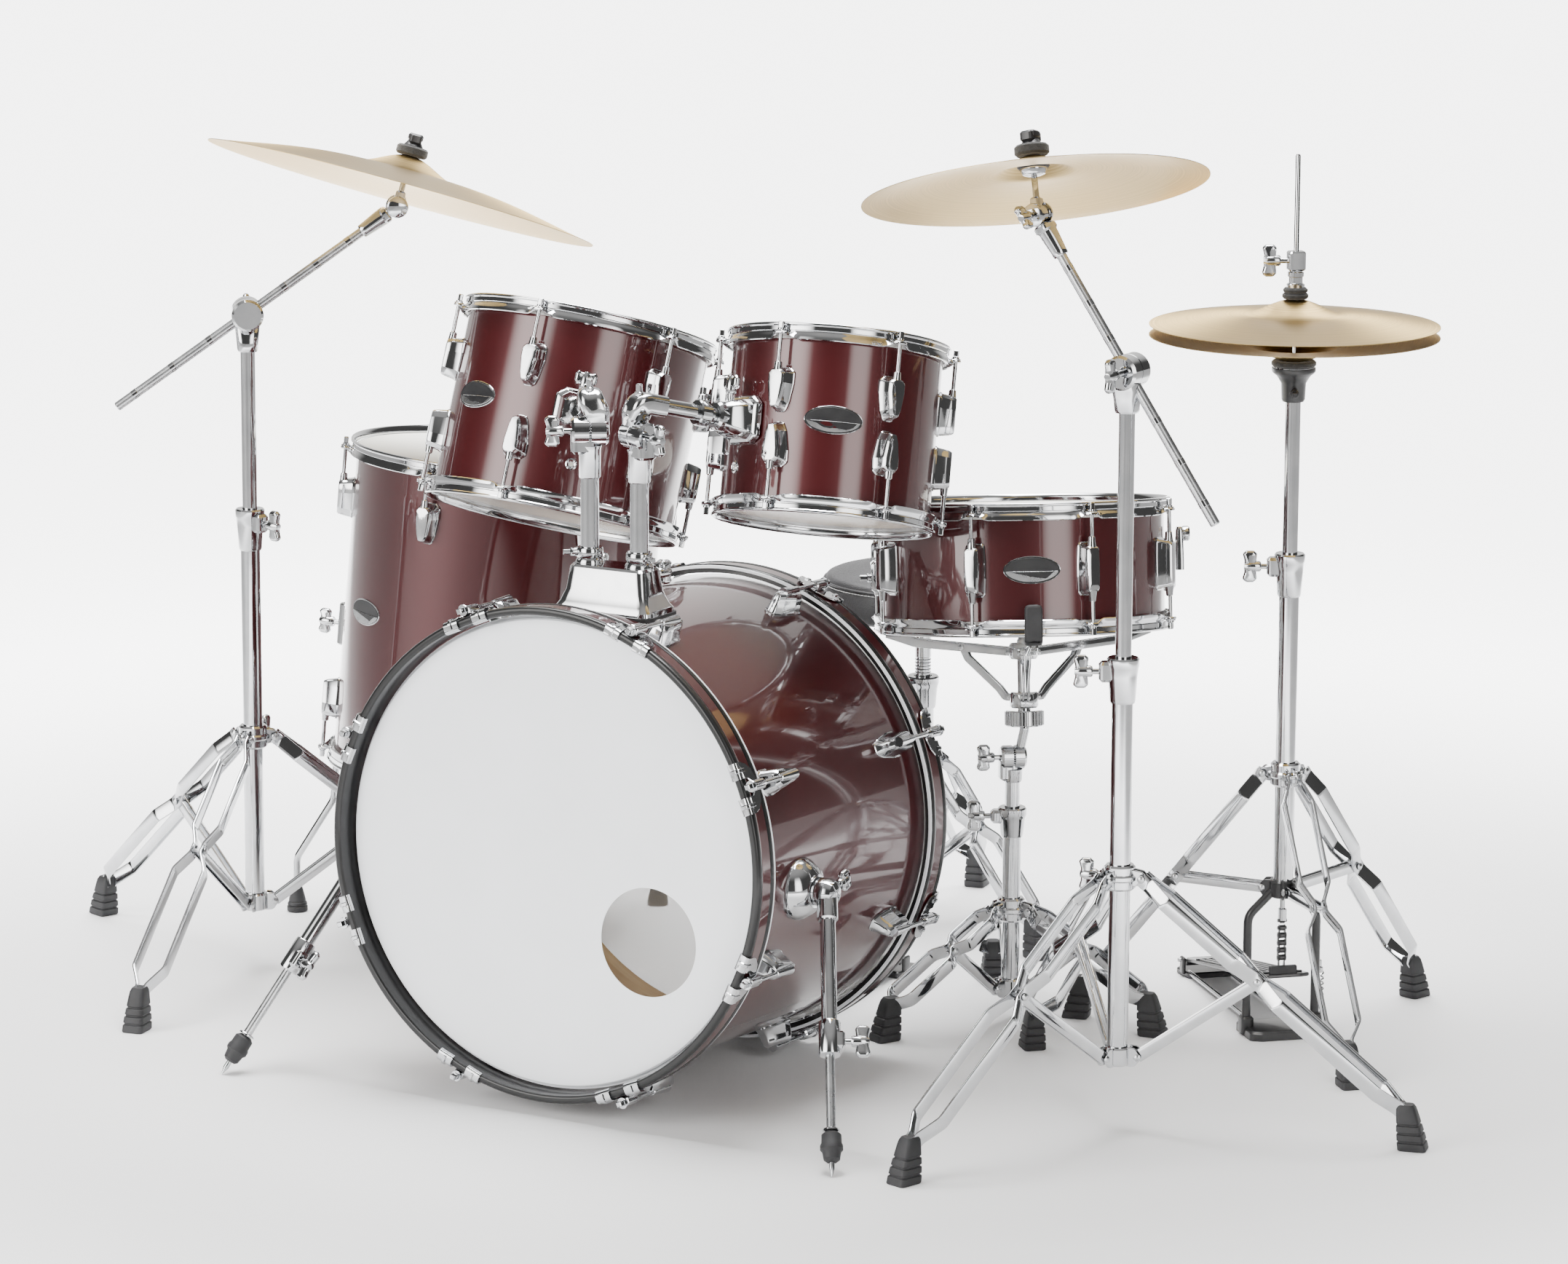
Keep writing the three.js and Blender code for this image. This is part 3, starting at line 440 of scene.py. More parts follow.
MATERIALS = {
    "wine_lacquer": surface("wine_lacquer", (0.036, 0.0002, 0.0014), (0.052, 0.0004, 0.0021), (0.32, 0.4),
                            5.0, (0.02, 0.0002), (1, 1, 0.2), bump_scale=160.0, Metallic=0.4,
                            Coat_Weight=1.0, Coat_Roughness=0.05, Coat_IOR=1.55),
    "chrome": surface("chrome", (0.5, 0.51, 0.525), (0.58, 0.585, 0.595), (0.04, 0.09), 40.0, (0.005, 0.0001),
                      bump_scale=300.0, Metallic=1.0),
    "satin": surface("satin", (0.5, 0.51, 0.525), (0.62, 0.63, 0.64), (0.22, 0.34), 60.0, (0.25, 0.0002),
                     bump_scale=1400.0, Metallic=1.0),
    "black_hoop": surface("black_hoop", (0.004, 0.004, 0.0042), (0.008, 0.008, 0.0084), (0.3, 0.4), 12.0,
                          (0.02, 0.0002), Specular_IOR_Level=0.25, Coat_Weight=0.35, Coat_Roughness=0.12),
    "white_head": film("white_head", (0.84, 0.86, 0.89), 1.0, 0.42),
    "clear_head": film("clear_head", (0.74, 0.74, 0.72), 0.42, 0.12),
    "cream_head": film("cream_head", (0.8, 0.79, 0.73), 0.93, 0.5),
    "bronze": bronze(),
    "black_metal": surface("black_metal", (0.01, 0.01, 0.011), (0.022, 0.022, 0.023), (0.28, 0.42), 30.0,
                           (0.15, 0.0003), bump_scale=700.0, Metallic=0.2, Coat_Weight=0.3),
    "vinyl": vinyl(),
    "rubber": surface("rubber", (0.008, 0.008, 0.009), (0.022, 0.022, 0.024), (0.5, 0.7), 35.0, (0.3, 0.0004),
                      bump_scale=600.0),
    "felt": surface("felt", (0.5, 0.48, 0.43), (0.74, 0.72, 0.66), (0.85, 1.0), 220.0, (0.9, 0.001),
                    bump_scale=700.0, Sheen_Weight=0.4),
    "black_felt": surface("black_felt", (0.006, 0.006, 0.006), (0.02, 0.02, 0.02), (0.85, 1.0), 220.0,
                          (0.9, 0.001), bump_scale=700.0, Sheen_Weight=0.25),
    "black_plastic": surface("black_plastic", (0.009, 0.009, 0.01), (0.018, 0.018, 0.019), (0.3, 0.42), 40.0,
                             (0.1, 0.0003), bump_scale=500.0),
    "snare_wire": surface("snare_wire", (0.5, 0.51, 0.52), (0.7, 0.7, 0.71), (0.2, 0.3), 90.0, (0.1, 0.0002),
                          Metallic=1.0),
    "inner_wood": surface("inner_wood", (0.36, 0.22, 0.1), (0.56, 0.4, 0.21), (0.5, 0.65), 7.0, (0.1, 0.0006),
                          (1, 1, 9), 6.0),
    "thread": surface("thread", (0.3, 0.3, 0.3), (0.46, 0.46, 0.45), (0.6, 0.8), 300.0, (0.4, 0.0004)),
}


def piece(name, form, material, body=ROOT, place=None, replaces=(), sharp=34):
    """Makes one visible object from a form, in the frame `place`, riding on a body."""
    form = join(form) if isinstance(form, (list, tuple)) else form
    mesh = bpy.data.meshes.new(name)
    mesh.from_pydata([v * MM for v in form.verts], [], form.faces)
    work = bmesh.new()
    work.from_mesh(mesh)
    bmesh.ops.recalc_face_normals(work, faces=work.faces)
    for edge in work.edges:
        edge.smooth = edge.calc_face_angle(0.0) < math.radians(sharp)
    for face in work.faces:
        face.smooth = True
    work.to_mesh(mesh)
    work.free()
    mesh.materials.append(MATERIALS[material])
    made = bpy.data.objects.new(name, mesh)
    bpy.context.scene.collection.objects.link(made)
    if place is not None:
        world = place.copy()
        world.translation = place.translation * MM
        made.matrix_world = world
    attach(made, body)
    if replaces:
        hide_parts(*replaces)
    return made


# ---- drums
HOOP_RISE, HOOP_SKIRT, HOOP_LIP = 12, 9, 9
LUG_INSET, LUG_HEIGHT, ROD_OUT = 42, 54, 15


def around(form, angles):
    return [form.moved(spin(angle)) for angle in angles]


def mirrored(form):
    return form.moved(FLIP)


def drum_frame(top_node, bottom_node):
    top, bottom = mean(top_node), mean(bottom_node)
    return basis((top + bottom) / 2, top - bottom)


def shell_form(radius, wall, half):
    return lathe([(radius - wall, -half + 1), (radius - 1.5, -half), (radius, -half + 1.5),
                  (radius, half - 1.5), (radius - 1.5, half), (radius - wall, half - 1)], 128, loop=True)


def lining_form(radius, wall, half):
    inner = radius - wall
    return ring(inner - 1.2, inner + 0.3, -half + 1.2, half - 1.2, 0.3, 128)


def head_form(radius, edge):
    """A film with its collar over the bearing edge and a flesh ring outside the shell."""
    return lathe([(0, edge + 1.0), (radius * 0.6, edge + 1.0), (radius - 9, edge + 0.9),
                  (radius - 3, edge + 1.3), *arc((radius - 1.5, edge - 1.2), 2.6, 80, 5, 4),
                  (radius + 1.3, edge - 6), (radius + 2.2, edge - 7.2), (radius + 4.6, edge - 7.4),
                  (radius + 4.8, edge - 4.5), (radius + 2.6, edge - 3.5), (radius + 2.2, edge),
                  (radius + 0.6, edge + 2.2), (radius - 3, edge + 2.1), (radius - 9, edge + 1.6),
                  (radius * 0.6, edge + 1.5), (0, edge + 1.5)], 128)


def hoop_form(radius, edge, angles):
    """Pressed steel hoop: rolled lip, wall, and a flared band that turns out into an ear at each rod.

    A profile point is its radius, its height and how far it follows the ears."""
    segments, ear_reach, ear_grow, ear_lift = 240, 19, 8.5, 6.4
    out, inner = radius + HOOP_LIP, radius + 2.6
    band = [(out - 2.6, edge - HOOP_SKIRT, 1), (out - 1, edge - HOOP_SKIRT - 0.3, 1),
            (out, edge - HOOP_SKIRT + 0.8, 1), (out - 0.4, edge - 5.5, 0.62), (out - 1.2, edge - 2, 0.18),
            (out - 2.6, edge + 0.2, 0), (out - 2.7, edge + 1.6, 0), (out - 1.7, edge + 2.6, 0),
            (out - 1.8, edge + 7.4, 0), (out - 0.9, edge + 8.6, 0)]
    lip = [(*p, 0) for p in arc((out - 2.2, edge + HOOP_RISE - 2.2), 2.3, -30, 150, 7)]
    inside = [(inner + 1.2, edge + HOOP_RISE - 2.6, 0), (inner, edge + HOOP_RISE - 5, 0),
              (inner, edge + 2.8, 0), (out - 4.6, edge + 1.2, 0), (out - 3.4, edge - 2, 0.18),
              (out - 2.8, edge - 5.5, 0.62)]
    profile = band + lip + inside
    form = lathe([(r, z) for r, z, _ in profile], segments, loop=True)
    for i, vert in enumerate(form.verts):
        weight = profile[i // segments][2]
        if not weight:
            continue
        turn = math.degrees(math.atan2(vert.y, vert.x))
        away = min(abs((turn - angle + 180) % 360 - 180) for angle in angles)
        share = max(0.0, 1 - away * math.radians(1) * radius / ear_reach)
        lift = weight * share * share * (3 - 2 * share)
        grown = vert.xy.length + lift * ear_grow
        vert.x, vert.y = grown * math.cos(math.radians(turn)), grown * math.sin(math.radians(turn))
        vert.z += lift * ear_lift
    return form


def ear_form(radius, edge):
    """Thickened pad of a hoop's ear, under the rod's washer."""
    outline = [(-6, -10), (4, -9), (8.5, -5), (8.5, 5), (4, 9), (-6, 10)]
    return plate(rounded(outline, 4, 3), 3.2, 0.9).moved(shift(radius + ROD_OUT - 2, 0, edge - 2.6))


def rod_form(radius, edge, end):
    """Tension rod: square head, flange, washer and thin shaft."""
    z = edge - 1
    x = radius + ROD_OUT
    shaft = lathe([(0, end), (2.3, end), (2.5, end + 1), (2.5, z), (0, z)], 14)
    washer = lathe([(0, z), (6.2, z), (6.4, z + 0.8), (6, z + 1.6), (4.4, z + 1.7), (4.4, z + 3.8),
                    (0, z + 3.8)], 24)
    head = slab(6.4, 6.4, 8.5, 1.0, 0.9).moved(shift(0, 0, z + 8))
    return join(shaft, washer, head).moved(shift(x, 0, 0))


BULLET = [(-0.3, -0.5), (0.3, -0.5), (0.5, -0.4), (0.5, -0.14), (0.36, 0.3), (0.2, 0.5), (-0.2, 0.5),
          (-0.36, 0.3), (-0.5, -0.14), (-0.5, -0.4)]
BARREL = [(-0.36, -0.5), (0.36, -0.5), (0.46, -0.44), (0.5, -0.15), (0.5, 0.15), (0.46, 0.44), (0.36, 0.5),
          (-0.36, 0.5), (-0.46, 0.44), (-0.5, 0.15), (-0.5, -0.15), (-0.46, -0.44)]


def lug_form(outline, width, height, depth, radius):
    """Cast lug: a thin foot, raked sides and a crowned face. It stands out of the shell along local X."""
    layers = [(1.0, 1.0, 0), (1.0, 1.0, 2.4), (0.95, 0.97, 3.2), (0.9, 0.95, 4.0), (0.74, 0.88, depth * 0.7),
              (0.64, 0.83, depth * 0.9), (0.54, 0.78, depth * 0.975), (0.36, 0.62, depth)]
    body = loft([(rounded([(x * width * a, y * height * b) for x, y in outline], 5 * a, 3), z)
                 for a, b, z in layers])
    return body.moved(shift(radius - 1.2, 0, 0) @ OUTWARD)


def receiver_form(x, start, end):
    """Tapered snout of a lug that takes the tension rod."""
    return lathe([(0, start), (6.4, start), (6.2, start + 4), (4.6, end - 4), (4.4, end - 1), (3.4, end),
                  (0, end)], 24).moved(shift(x, 0, 0))


def badge(name, radius, angle, z, body, place):
    """Blank oval badge: a dark field and a plain silver foot inside a bright rim, bowed to the shell."""
    def oval(width, height, thickness, out, top=1.0):
        outline = [Vector((width / 2 * math.cos(math.tau * k / 56),
                           height / 2 * min(math.sin(math.tau * k / 56), top))) for k in range(56)]
        flat = plate(outline, thickness, thickness * 0.3)
        bow = [Vector((math.sqrt(radius ** 2 - v.x ** 2) + out + v.z, v.x, v.y)) for v in flat.verts]
        return Form(bow, flat.faces).moved(spin(angle) @ shift(0, 0, z))
    piece(f"{name}_badge_rim", oval(70, 34, 2.0, 0.3), "chrome", body, place)
    piece(f"{name}_badge_field", oval(66, 30, 1.0, 1.2), "black_plastic", body, place)
    piece(f"{name}_badge_foot", oval(65, 29, 0.8, 1.7, -0.12), "satin", body, place)


def vent(name, radius, angle, z, body, place):
    """Metal grommet round the air hole."""
    eyelet = lathe([(2.8, 0), (7.5, 0), (7.2, 1.6), (5.6, 2.4), (3.4, 1.2), (2.8, 0.4)], 28, loop=True)
    core = lathe([(0, 0.1), (3, 0.1), (3, 0.5), (0, 0.5)], 20)
    where = spin(angle) @ basis(Vector((radius - 0.3, 0, z)), X_AXIS, UP)
    piece(f"{name}_vent", eyelet.moved(where), "chrome", body, place)
    piece(f"{name}_vent_core", core.moved(where), "felt", body, place)


def drum(name, body, diameter, depth, lugs, phase, badge_turn, split=True, top="clear_head", wall=6.5):
    """Shell, lining, hoops, heads, lugs and tension rods about the drum's own axis."""
    place = drum_frame(f"{name}_top_hoop", f"{name}_bottom_hoop")
    radius, half = diameter * INCH / 2, depth * INCH / 2
    angles = [phase + 360 / lugs * k for k in range(lugs)]
    piece(f"{name}_lacquered_shell", shell_form(radius, wall, half), "wine_lacquer", body, place,
          [f"{name}_shell"])
    piece(f"{name}_lining", lining_form(radius, wall, half), "inner_wood", body, place)
    hoop, ear = hoop_form(radius, half, angles), ear_form(radius, half)
    if split:
        middle = half - LUG_INSET - LUG_HEIGHT / 2
        lug = lug_form(BULLET, 31, LUG_HEIGHT, 22, radius).moved(shift(0, 0, middle) @ FLIP)
        upper = join(lug, receiver_form(radius + ROD_OUT - 0.5, half - LUG_INSET - 20, half - LUG_INSET + 5))
        fittings = around(join(upper, mirrored(upper)), angles)
        rod = rod_form(radius, half, half - LUG_INSET)
    else:
        snout = receiver_form(radius + ROD_OUT - 1, 20, 40)
        tall = join(lug_form(BARREL, 27, 66, 22, radius), snout, mirrored(snout))
        fittings = around(tall, angles)
        rod = rod_form(radius, half, 38)
    piece(f"{name}_lugs", fittings, "chrome", body, place)
    rods = around(rod, angles)
    ring_of_ears = join(hoop, *around(ear, angles))
    for end, turn in (("top", Matrix()), ("bottom", FLIP)):
        piece(f"{name}_{end}_rim", ring_of_ears.moved(turn), "chrome", body, place, [f"{name}_{end}_hoop"])
        piece(f"{name}_{end}_rods", join(rods).moved(turn), "chrome", body, place)
        skin = top if end == "top" else "clear_head"
        piece(f"{name}_{end}_film", head_form(radius, half).moved(turn), skin, body, place,
              [f"{name}_{end}_head"])
    badge(name, radius, angles[0] + 180 / lugs * badge_turn, 0, body, place)
    return place, radius, half


# ---- bass drum
BASS_HOOP_WIDTH, BASS_HOOP_OVERHANG, BASS_HOOP_OUTER = 38, 25, 297


def bass_hoop_form(edge):
    """Black hoop with a rounded bead along each edge and a shallow groove between them."""
    top, bottom = edge + BASS_HOOP_OVERHANG, edge + BASS_HOOP_OVERHANG - BASS_HOOP_WIDTH
    outer, inner = BASS_HOOP_OUTER, 286.2
    return lathe([(inner, bottom), (outer - 4, bottom), *arc((outer - 4, bottom + 4), 4, -80, 0, 4),
                  (outer, bottom + 6), (outer - 0.6, bottom + 8.6), (outer - 2, bottom + 9.4),
                  (outer - 2, top - 10.4), (outer - 0.6, top - 9.6), (outer, top - 7),
                  *arc((outer - 4.5, top - 4.5), 4.5, 0, 90, 5), (inner + 4.5, top),
                  *arc((inner + 3.5, top - 3), 3, 90, 170, 4), (inner, edge + 3)], 160, loop=True)


def bass_band_form(edge):
    """Lacquered inlay in the groove."""
    top, bottom = edge + BASS_HOOP_OVERHANG, edge + BASS_HOOP_OVERHANG - BASS_HOOP_WIDTH
    return ring(BASS_HOOP_OUTER - 2.6, BASS_HOOP_OUTER - 0.9, bottom + 9.6, top - 10.6, 0.4, 160)


def claw_form(edge):
    """One claw: two ribbed clips over the bead, an arched plate between them, and a rod in a trough."""
    top, outer = edge + BASS_HOOP_OVERHANG, BASS_HOOP_OUTER
    section = [Vector(p) for p in ((1.0, -10), (1.3, -2.6), (2.9, -1.6), (2.9, 1.6), (1.3, 2.6), (1.0, 10),
                                   (-1.2, 10), (-1.2, -10))]
    hook = bent([(outer + 1.4, 0, top - 9), (outer + 1.4, 0, top + 1.5), (outer - 10.5, 0, top + 1.5),
                 (outer - 11.5, 0, top - 3)], 4.5)
    clip = sweep(hook, section, Vector((1, 0, 0.02)))
    clips = [clip.moved(shift(-0.9, s * 21, 0)) for s in (-1, 1)]
    arch = [(-31, -3), (-31, -8), (-28, -17), (-20, -24), (-8, -28), (8, -28), (20, -24), (28, -17), (31, -8),
            (31, -3), (11, -3), (10, -11), (5, -17), (-5, -17), (-10, -11), (-11, -3)]
    flat = plate(rounded(arch, 2, 2), 2.6, 0.9)
    bow = [Vector((math.sqrt((outer + 1.6 + v.z) ** 2 - v.x ** 2), v.x, top + v.y)) for v in flat.verts]
    trough = slab(12, 13, 24, 4, 2, 4).moved(shift(outer + 6.5, 0, top - 17))
    washer = lathe([(0, top - 4), (7, top - 4), (7.2, top - 3), (6.6, top - 2), (0, top - 2)], 20)
    head = slab(6.6, 6.6, 9, 1, 0.9).moved(shift(0, 0, top + 2.5))
    sleeve = lathe([(0, top - 32), (4, top - 32), (5, top - 30), (5, top - 4), (0, top - 4)], 20)
    shaft = lathe([(0, edge - 76), (2.9, edge - 76), (3.0, top - 20), (0, top - 20)], 16)
    screw = join(washer, head, sleeve, shaft).moved(shift(outer + 8, 0, 0))
    return join(clips, Form(bow, flat.faces), trough), screw


def bass_lug_form(radius, edge):
    """Pyramid-shaped lug with a snout for the tension rod."""
    body = lug_form(BULLET, 32, 58, 27, radius).moved(shift(0, 0, edge - 66) @ FLIP)
    return join(body, receiver_form(BASS_HOOP_OUTER + 8, edge - 78, edge - 44))


def port_head_form(radius, edge, port_at, port_radius):
    """The front film with its round port, as a fan of rings between the two circles."""
    sides, steps = 128, 10
    hole = [Vector((*port_at, edge + 1.2)) + polar(port_radius, 360 * k / sides) for k in range(sides)]
    rim = [polar(radius - 10, 360 * k / sides, edge + 1.2) for k in range(sides)]
    fall = [(radius - 4, 1.7), (radius - 0.8, 1.3), (radius + 1.2, -0.6), (radius + 1.4, -6),
            (radius + 4.6, -6.4)]
    rings = [[h.lerp(r, (s / steps) ** 1.4) for h, r in zip(hole, rim)] for s in range(steps + 1)]
    rings += [[polar(r, 360 * k / sides, edge + z) for k in range(sides)] for r, z in fall]
    under = [[v - Vector((0, 0, 0.5)) for v in points] for points in reversed(rings)]
    loops = rings + under
    verts = [v for points in loops for v in points]
    faces = []
    for level in range(len(loops)):
        beyond = (level + 1) % len(loops)
        for k in range(sides):
            n = (k + 1) % sides
            faces.append((level * sides + k, level * sides + n, beyond * sides + n, beyond * sides + k))
    return Form(verts, faces)


def bass_drum():
    place = drum_frame("bass_front_hoop", "bass_rear_hoop")
    radius, half = 11 * INCH, 8 * INCH
    angles = [22.5 + 45 * k for k in range(8)]
    piece("bass_lacquered_shell", shell_form(radius, 8, half), "wine_lacquer", ROOT, place, ["bass_shell"])
    piece("bass_lining", lining_form(radius, 8, half), "inner_wood", ROOT, place)
    lugs = around(bass_lug_form(radius, half), angles)
    piece("bass_lugs", join(lugs, mirrored(join(lugs))), "chrome", ROOT, place)
    claw, screw = claw_form(half)
    claws, screws = join(around(claw, angles)), join(around(screw, angles))
    for end, turn in (("front", Matrix()), ("rear", FLIP)):
        piece(f"bass_{end}_wood_hoop", bass_hoop_form(half).moved(turn), "black_hoop", ROOT, place,
              [f"bass_{end}_hoop"])
        piece(f"bass_{end}_hoop_band", bass_band_form(half).moved(turn), "wine_lacquer", ROOT, place)
        edging = ring(BASS_HOOP_OUTER - 5, BASS_HOOP_OUTER - 1.2, half - 15.6, half - 13.2, 0.6, 160)
        piece(f"bass_{end}_hoop_edging", edging.moved(turn), "white_head", ROOT, place)
        piece(f"bass_{end}_claws", claws.moved(turn), "chrome", ROOT, place)
        piece(f"bass_{end}_screws", screws.moved(turn), "chrome", ROOT, place)
    piece("bass_front_film", port_head_form(radius, half, (135, -90), 65), "white_head", ROOT, place,
          ["bass_front_head"])
    piece("bass_rear_film", mirrored(head_form(radius, half)), "clear_head", ROOT, place, ["bass_rear_head"])


def spur(side, sign):
    """Folding leg: cone on the shell, elbow, tube, collar, inner rod and spiked rubber tip."""
    pivot = joint_at(f"{side}_spur_fold")
    node_name = f"bass_spur_{side}"
    tip_x = low(node_name).x if sign < 0 else high(node_name).x
    out = Vector((sign, 0, 0))
    foot = Vector((tip_x - sign * 1.5, low(node_name).y + 1.5, 1.2))
    shell = pivot - out * 36
    cone = turned(shell, pivot, [(0, -8), (37, -8), (37.5, 0), (36, 5), (27, 18), (20, 21), (20, 22.4),
                                 (0, 22.4)], 48)
    piece(f"{node_name}_cone", cone, "chrome", ROOT)
    body = f"{side}_spur"
    along = (foot - pivot).normalized()
    length = (foot - pivot).length

    def at(share):
        return pivot + along * length * share
    hub = turned(pivot - out * 13, pivot, [(0, 0), (16.5, 0), (17, 1), (17, 17), (14, 24), (8, 27),
                                           (0, 28)], 36)
    elbow = turned(pivot - along * 6, foot, [(0, 0), (11, 0), (12.4, 3), (12.4, 40), (11, 42), (0, 42)], 32)
    collar_at, boot_at = 0.53, 0.845
    tube = pin(at(0.1), at(0.52), 9.2)
    piece(f"{node_name}_arm", join(hub, elbow, tube), "chrome", body, None, [node_name])
    collar = turned(at(0.46), foot, [(0, 0), (12, 0), (13, 1.5), (13, 40), (12, 42), (8, 43), (0, 43)], 32)
    beside = Vector((-along.y, along.x, 0)).normalized()
    boss = slab(18, 20, 22, 5, 3).moved(basis(at(collar_at) + beside * 9, along, beside))
    piece(f"{node_name}_collar", join(collar, boss), "chrome", body)
    collar_bolt = wing_bolt(at(collar_at) + beside * 12, beside, 26, 20, along)
    piece(f"{node_name}_collar_bolt", collar_bolt, "chrome", body)
    washer = turned(at(boot_at) - along * 3, foot, [(0, 0), (9.4, 0), (10, 0.8), (10, 2.4), (0, 3)], 28)
    piece(f"{node_name}_washer", washer, "chrome", body)
    top_wing = wing_bolt(pivot + out * 8 + UP * 2, (UP * 0.3 + Vector((0, 0.95, 0))).normalized(), 28, 13)
    piece(f"{node_name}_hinge_bolt", top_wing, "chrome", body)
    piece(f"{node_name}_rod", pin(at(0.5), at(0.88), 5.6), "satin", body)
    boot = turned(at(boot_at), foot, [(0, 0), (7, 0), (11.6, 4), (12, 14), (13.4, 17), (13.4, 22), (11, 25),
                                    (9.6, 34), (6, 37), (0, 37)], 28)
    piece(f"{node_name}_boot", boot, "rubber", body)
    spike = turned(at(0.95), foot, [(0, 0), (3.4, 0), (3.4, 8), (0.6, length * 0.05), (0, length * 0.05)], 18)
    piece(f"{node_name}_spike", spike, "chrome", body)


# ---- tom holder and arms
def tom_holder():
    middle = (joint_at("left_tom_swivel") + joint_at("right_tom_swivel")) / 2
    base, top = low("tom_holder").z, 640
    sizes = [(132, 70, base + 2), (132, 70, base + 14), (124, 62, base + 20), (113, 52, base + 34),
             (107, 47, top - 8), (106, 46, top - 3), (101, 41, top)]
    block = loft([(rounded(rect(w, d), 13, 5), z) for w, d, z in sizes]).moved(shift(middle.x, middle.y, 0))
    gasket = loft([(rounded(rect(137, 75), 14, 5), base - 2), (rounded(rect(137, 75), 14, 5), base + 9)])
    piece("tom_holder_block", block, "chrome", ROOT, None, ["tom_holder"])
    piece("tom_holder_gasket", gasket.moved(shift(middle.x, middle.y, 0)), "rubber")
    for side, sign in (("left", -1), ("right", 1)):
        post = joint_at(f"{side}_tom_swivel")
        at = Vector((post.x, post.y, 0))
        socket = lathe([(11.8, top - 2), (17, top - 2), (17.4, top), (16.4, top + 4), (15, top + 6),
                        (11.8, top + 6)], 40, loop=True)
        bolt = wing_bolt(at + Vector((0, 12, top - 12)), Vector((sign * 0.25, 0.97, 0)), 34, 15, UP)
        piece(f"{side}_post_socket", join(socket.moved(shift(at.x, at.y, 0)), bolt), "chrome")


def toothed_disc(outer, start, end):
    """Half of a ratchet joint about Z: a bevelled disc with radial teeth on the face at `end`."""
    step = 1 if end > start else -1
    disc = lathe([(0, start), (outer - 3, start), (outer, start + 3 * step), (outer, end - 1.2 * step),
                  (outer - 1.2, end - 0.6 * step), (0, end - 0.6 * step)], 44)
    tooth = slab(outer * 0.34, 1.3, 0.9, 0.3, 0.2).moved(shift(outer * 0.76, 0, end - 0.45 * step))
    return join(disc, *around(tooth, [360 / 30 * k for k in range(30)]))


def tom_arm(side, radius, place):
    """Post, ratchet tilter, elbow, arm tube and the shell bracket."""
    pivot = joint_at(f"{side}_tom_tilt")
    outer = 1 if side == "left" else -1
    hinge = joint_axis(f"{side}_tom_tilt") * outer
    across = basis(pivot, hinge, UP)
    post_body, tom_body = f"{side}_post", f"{side}_tom"
    bottom = Vector((pivot.x, pivot.y, low(f"{side}_tom_post").z))
    piece(f"{side}_post_tube", pin(bottom, pivot - UP * 32, 11), "chrome", post_body, None,
          [f"{side}_tom_post"])
    lock = lathe([(11.1, 646.5), (15.4, 646.5), (16, 647.5), (16, 657), (15, 658.5), (11.1, 658.5)], 36,
                 loop=True)
    lock = join(lock.moved(shift(pivot.x, pivot.y, 0)),
                key_screw(Vector((pivot.x, pivot.y, 652.5)) + hinge * -14, hinge * -1, 18))
    sleeve = turned(pivot - UP * 56, pivot, [(0, 0), (12.4, 0), (13.2, 1.5), (13.2, 34), (14.5, 39),
                                             (0, 43)], 32)
    sleeve_neck = slab(30, 26, 30, 9, 3.5, 4).moved(basis(pivot - UP * 12, UP, hinge) @ shift(-8, 0, 0))
    lower_disc = toothed_disc(17.5, -22, -0.3).moved(across)
    bolt = wing_bolt(pivot - hinge * 18, hinge * -1, 26, 19, UP)
    piece(f"{side}_post_lock", lock, "chrome", post_body)
    piece(f"{side}_tilter_lower", join(sleeve, lower_disc, sleeve_neck), "chrome", post_body)
    piece(f"{side}_tilter_bolt", bolt, "chrome", post_body)

    elbow = pivot + UP * 40
    axis = place.to_3x3().col[2]
    centre = place.translation
    rise = (elbow - centre).dot(axis)
    inward = centre + axis * rise - elbow
    reach = inward.length
    inward.normalize()
    upper_disc = toothed_disc(17.5, 22, 0.3).moved(across)
    cover_path = bent([pivot + hinge * 10 - UP * 4, pivot + hinge * 9 + UP * 22, elbow + inward * 2,
                       elbow + inward * 34], 20, 7)
    grow = [1.0 + 0.14 * math.sin(math.pi * k / (len(cover_path) - 1)) for k in range(len(cover_path))]
    cover = sweep(cover_path, rounded(rect(27, 25), 8.5, 5), inward.cross(UP).normalized(), grow)
    cap = key_screw(elbow + UP * 8, UP, 14)
    piece(f"{side}_tilter_upper", join(upper_disc, cover, cap), "chrome", tom_body, None, [f"{side}_tom_arm"])
    tube = pin(elbow + inward * 20, elbow + inward * (reach - radius + 14), 9.6)
    piece(f"{side}_arm_tube", tube, "chrome", tom_body)
    tom_bracket(side, tom_body, basis(centre + axis * rise - inward * radius, -inward, axis))


